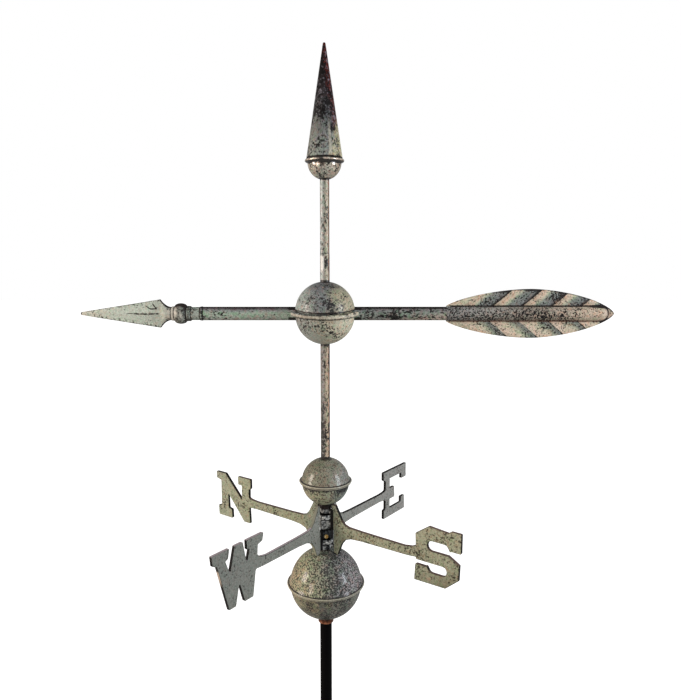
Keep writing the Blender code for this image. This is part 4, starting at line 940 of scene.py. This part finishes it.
# the upper ferrule sits in shade under the upper globe: its copper is painted near black as shade
ferrule("upperFerrule", "upper_copper_collar", 9.4, bores["spindle"],
        bareCopper("shadedCopperFerrule", [(0.32, "#0c0807"), (0.55, "#1f1410"), (0.75, "#52301f")], 0.4))
print("rod and ferrules ready")


# Compass castings: sand-cast brass plates, filed flat, with small broken edges. The hub's collar is turned
# in bands, given as (bottom, top, tone): the tones paint highlights on the rings and shade on the recessed
# block, the grooves between them are painted black as shade, and a web beside it is painted black as shade.

hub = dict(angle=-36.18, reach=(234, 302), collarTop=298.4, web=(9.8, 10.2), outer=(15.4, 15.2), metallic=0.5,
           litAndShadedBands=[(236.5, 244.4, "#dcdcdc"), (247.2, 253.2, "#ffffff"), (255.2, 267.0, "#5c6066"),
                  (269.2, 281.2, "#c8c8c8"), (283.4, 289.0, "#ffffff"), (292.4, 297.6, "#bcbcbc")],
           groove="#050505", grooveEdge=0.006, webShadeColour="#131211",
           pewter=[(0.4, "#2c2e30"), (0.5, "#969b9b"), (0.58, "#f0f2ee")])
alongNorth = (cos(radians(hub["angle"])), sin(radians(hub["angle"])), 0)
westOut = (alongNorth[1], -alongNorth[0], 0)
eastOut = (-alongNorth[1], alongNorth[0], 0)
# edge is the painted shade of the side faces
northSouthPlate = dict(normal=westOut, edge="#0d0908", top="#64504a", topFrom=(alongNorth, -190, -150))
westEastPlate = dict(normal=alongNorth, edge="#0c0909", top="#a3979a", topFrom=(westOut, 0, 30),
                     paintedHighlightEnd=(westOut, [(200, 400, 262, 287, "#b3a596"), (4, 50, 230, 266, "#8f907b"),
                                        (4, 50, 266, 310, "#77786a")]))


# A plate's rim over its face colour. Side faces are painted dark, as painted shade and grime, the upward ones
# paler from a place on, and an outer end that the plate names gets painted highlights inside windows of
# (nearest, farthest, bottom, top, colour).
def plateRim(plate, add, here, grain, colour):
    normal = (add("NewGeometry"), "Normal")
    across = add("VectorMath", {0: normal, 1: plate["normal"]}, operation="DOT_PRODUCT")
    flat = add("Math", {0: (across, "Value")}, operation="ABSOLUTE")
    edge = add("MapRange", {"Value": flat, "From Min": 0.99, "From Max": 0.9})
    sparse = add("MapRange", {"Value": grain["glimpse"], "From Min": 0.3, "From Max": 0.42, "To Min": 0.8})
    edge = add("Math", {0: edge, 1: sparse}, operation="MULTIPLY")
    upward = (add("SeparateXYZ", {0: normal}), "Z")
    top = add("MapRange", {"Value": upward, "From Min": 0.5, "From Max": 0.8})
    top = add("Math", {0: top, 1: sideMask(add, here, *plate["topFrom"])}, operation="MULTIPLY")
    rim = add("MixRGB", {"Fac": top, "Color1": srgb(plate["edge"]), "Color2": srgb(plate["top"])})
    if "paintedHighlightEnd" in plate:
        direction, windows = plate["paintedHighlightEnd"]
        inward = tuple(-c for c in direction)
        facing = add("VectorMath", {0: normal, 1: direction}, operation="DOT_PRODUCT")
        facing = add("MapRange", {"Value": (facing, "Value"), "From Min": 0.35, "From Max": 0.6})
        for nearest, farthest, bottom, ceiling, code in windows:
            pale = facing
            for side in ((direction, nearest, nearest + 4), (inward, -farthest, 4 - farthest),
                         ((0, 0, 1), bottom, bottom + 4), ((0, 0, -1), -ceiling, 3 - ceiling)):
                pale = add("Math", {0: pale, 1: sideMask(add, here, *side)}, operation="MULTIPLY")
            rim = add("MixRGB", {"Fac": pale, "Color1": rim, "Color2": srgb(code)})
    return add("MixRGB", {"Fac": edge, "Color1": colour, "Color2": rim})


# The plate's rim, and over it the collar on the spindle: mottled grey metal inside a radius, with band tones
# by height that paint its highlights and shade. Returns the colour and how metallic it is.
def castingMarks(plate, add, here, grain, colour):
    colour = plateRim(plate, add, here, grain, colour)
    level = add("Mapping", {"Vector": here, "Scale": (1, 1, 0)})
    out = (add("VectorMath", {0: level}, operation="LENGTH"), "Value")
    height = (add("SeparateXYZ", {0: here}), "Z")
    low, high = hub["reach"]
    span = add("MapRange", {"Value": height, "From Min": low * mm, "From Max": high * mm})
    stops = []
    for bottom, ceiling, code in hub["litAndShadedBands"]:
        start, end = (bottom - low) / (high - low), (ceiling - low) / (high - low)
        stops += [(start - hub["grooveEdge"], hub["groove"]), (start, code), (end, code),
                  (end + hub["grooveEdge"], hub["groove"])]
    pewter = add("ValToRGB", {"Fac": grain["tint"]}, stops=hub["pewter"])
    litAndShadedBands = add("ValToRGB", {"Fac": span}, stops=stops)
    pewter = add("VectorMath", {0: pewter, 1: litAndShadedBands}, operation="MULTIPLY")
    webStart, webEnd = (r * mm for r in hub["web"])
    web = add("MapRange", {"Value": out, "From Min": webStart, "From Max": webEnd})
    pewter = add("MixRGB", {"Fac": web, "Color1": pewter, "Color2": srgb(hub["webShadeColour"])})
    outside, inside = (r * mm for r in hub["outer"])
    inHub = add("MapRange", {"Value": out, "From Min": outside, "From Max": inside})
    onCollar = add("Math", {0: height, 1: hub["collarTop"] * mm}, operation="LESS_THAN")
    inHub = add("Math", {0: inHub, 1: onCollar}, operation="MULTIPLY")
    metallic = add("MapRange", {"Value": out, "From Min": 10.0 * mm, "From Max": webStart,
                                "To Max": hub["metallic"]})
    return add("MixRGB", {"Fac": inHub, "Color1": colour, "Color2": pewter}), metallic


# Sand-cast brass, the plate of N and S: khaki with brown mottling, matt, its lower part browner. It is the
# same brass as the plate of W and E, and its khaki is partly painted warm light.
warmLitBrass = patina(
    "patinatedCastBrassKhakiWarmLit", wash=(1.05, 1.18, 1.38), along=alongNorth, span=(-220, 220), cloud=34,
    wander=0.2, seed=(0.37, 0.12, 0.5), tint=4, tints=("#e2f0da", "#f3e0d2"),
    ground=[(0.0, "#9f9c83"), (0.35, "#9b9777"), (0.5, "#85856f"), (0.62, "#999477"), (1.0, "#a09a7c")],
    veils=[((0.6 * alongNorth[0], 0.6 * alongNorth[1], -1), -155, -120, 0.55, "#5d553c")],
    speck=2.8, speckFrom=0.525, speckSoft=0.1, speckDepth=0.9, speckColour="#211a10", crowding=0.05,
    pit=4.4, pitFrom=0.65, pitColour="#2a1f18", glimpseFrom=0.61, glimpseColour="#b8957f", roughness=0.55,
    specular=0.15, lacquer=0.03, relief=0.25,
    overlay=partial(castingMarks, northSouthPlate))
# The plate of W and E, cast alike: blue-grey slate, matt, partly painted cool light, and its pale outer end
# on the W's side is a painted highlight.
coolLitBrass = patina(
    "patinatedCastBrassSlateCoolLit", wash=(1.19, 1.17, 1.09), along=eastOut, span=(-220, 220), cloud=34,
    wander=0.2, seed=(0.61, 0.83, 0.2), tint=4, tints=("#e8f1ec", "#efe9e6"), fineDepth=0.28,
    ground=[(0.0, "#7c7e7b"), (0.4, "#80837f"), (0.55, "#8b8d8a"), (1.0, "#929190")],
    speck=2.6, speckFrom=0.550, speckSoft=0.1, speckDepth=0.85, speckColour="#1f1d1c", crowding=0.04,
    pit=5.0, pitFrom=0.68, glimpseFrom=0.62, glimpseColour="#aaa196", roughness=0.55, specular=0.15,
    lacquer=0.03, relief=0.25,
    overlay=partial(castingMarks, westEastPlate))


# A CAD solid keeps its shape and gets its finish. With a width in mm it is welded and its edges broken.
def dressCad(node, material, width=0):
    solid = nodes[node]
    solid.data.materials.clear()
    solid.data.materials.append(material)
    if width:
        weld = solid.modifiers.new("weld", "WELD")
        weld.merge_threshold = 0.00001
        broken = solid.modifiers.new("brokenEdge", "BEVEL")
        broken.width = width * mm
        broken.segments = 2
        broken.use_clamp_overlap = False
        broken.limit_method = "ANGLE"
        broken.angle_limit = radians(50)


# Plain yellow brass mottled from brown to pale yellow: the brown and pale stops are painted shade and painted
# highlight.
screwBrass, add, shader = newMaterial("bareBrassScrew")
mottle = add("TexNoise", {"Vector": (add("TexCoord"), "Object"), "Scale": 1000 / 3, "Detail": 3.0})
yellow = add("ValToRGB", {"Fac": mottle}, stops=[(0.36, "#6e4a20"), (0.5, "#e0b260"), (0.62, "#fff2c4")])
connect(shader, {"Base Color": yellow, "Metallic": 0.55, "Roughness": 0.28})
dressCad("compass_north_south", warmLitBrass, 0.9)
dressCad("compass_west_east", coolLitBrass, 0.9)
dressCad("set_screw", screwBrass)
print("castings dressed")
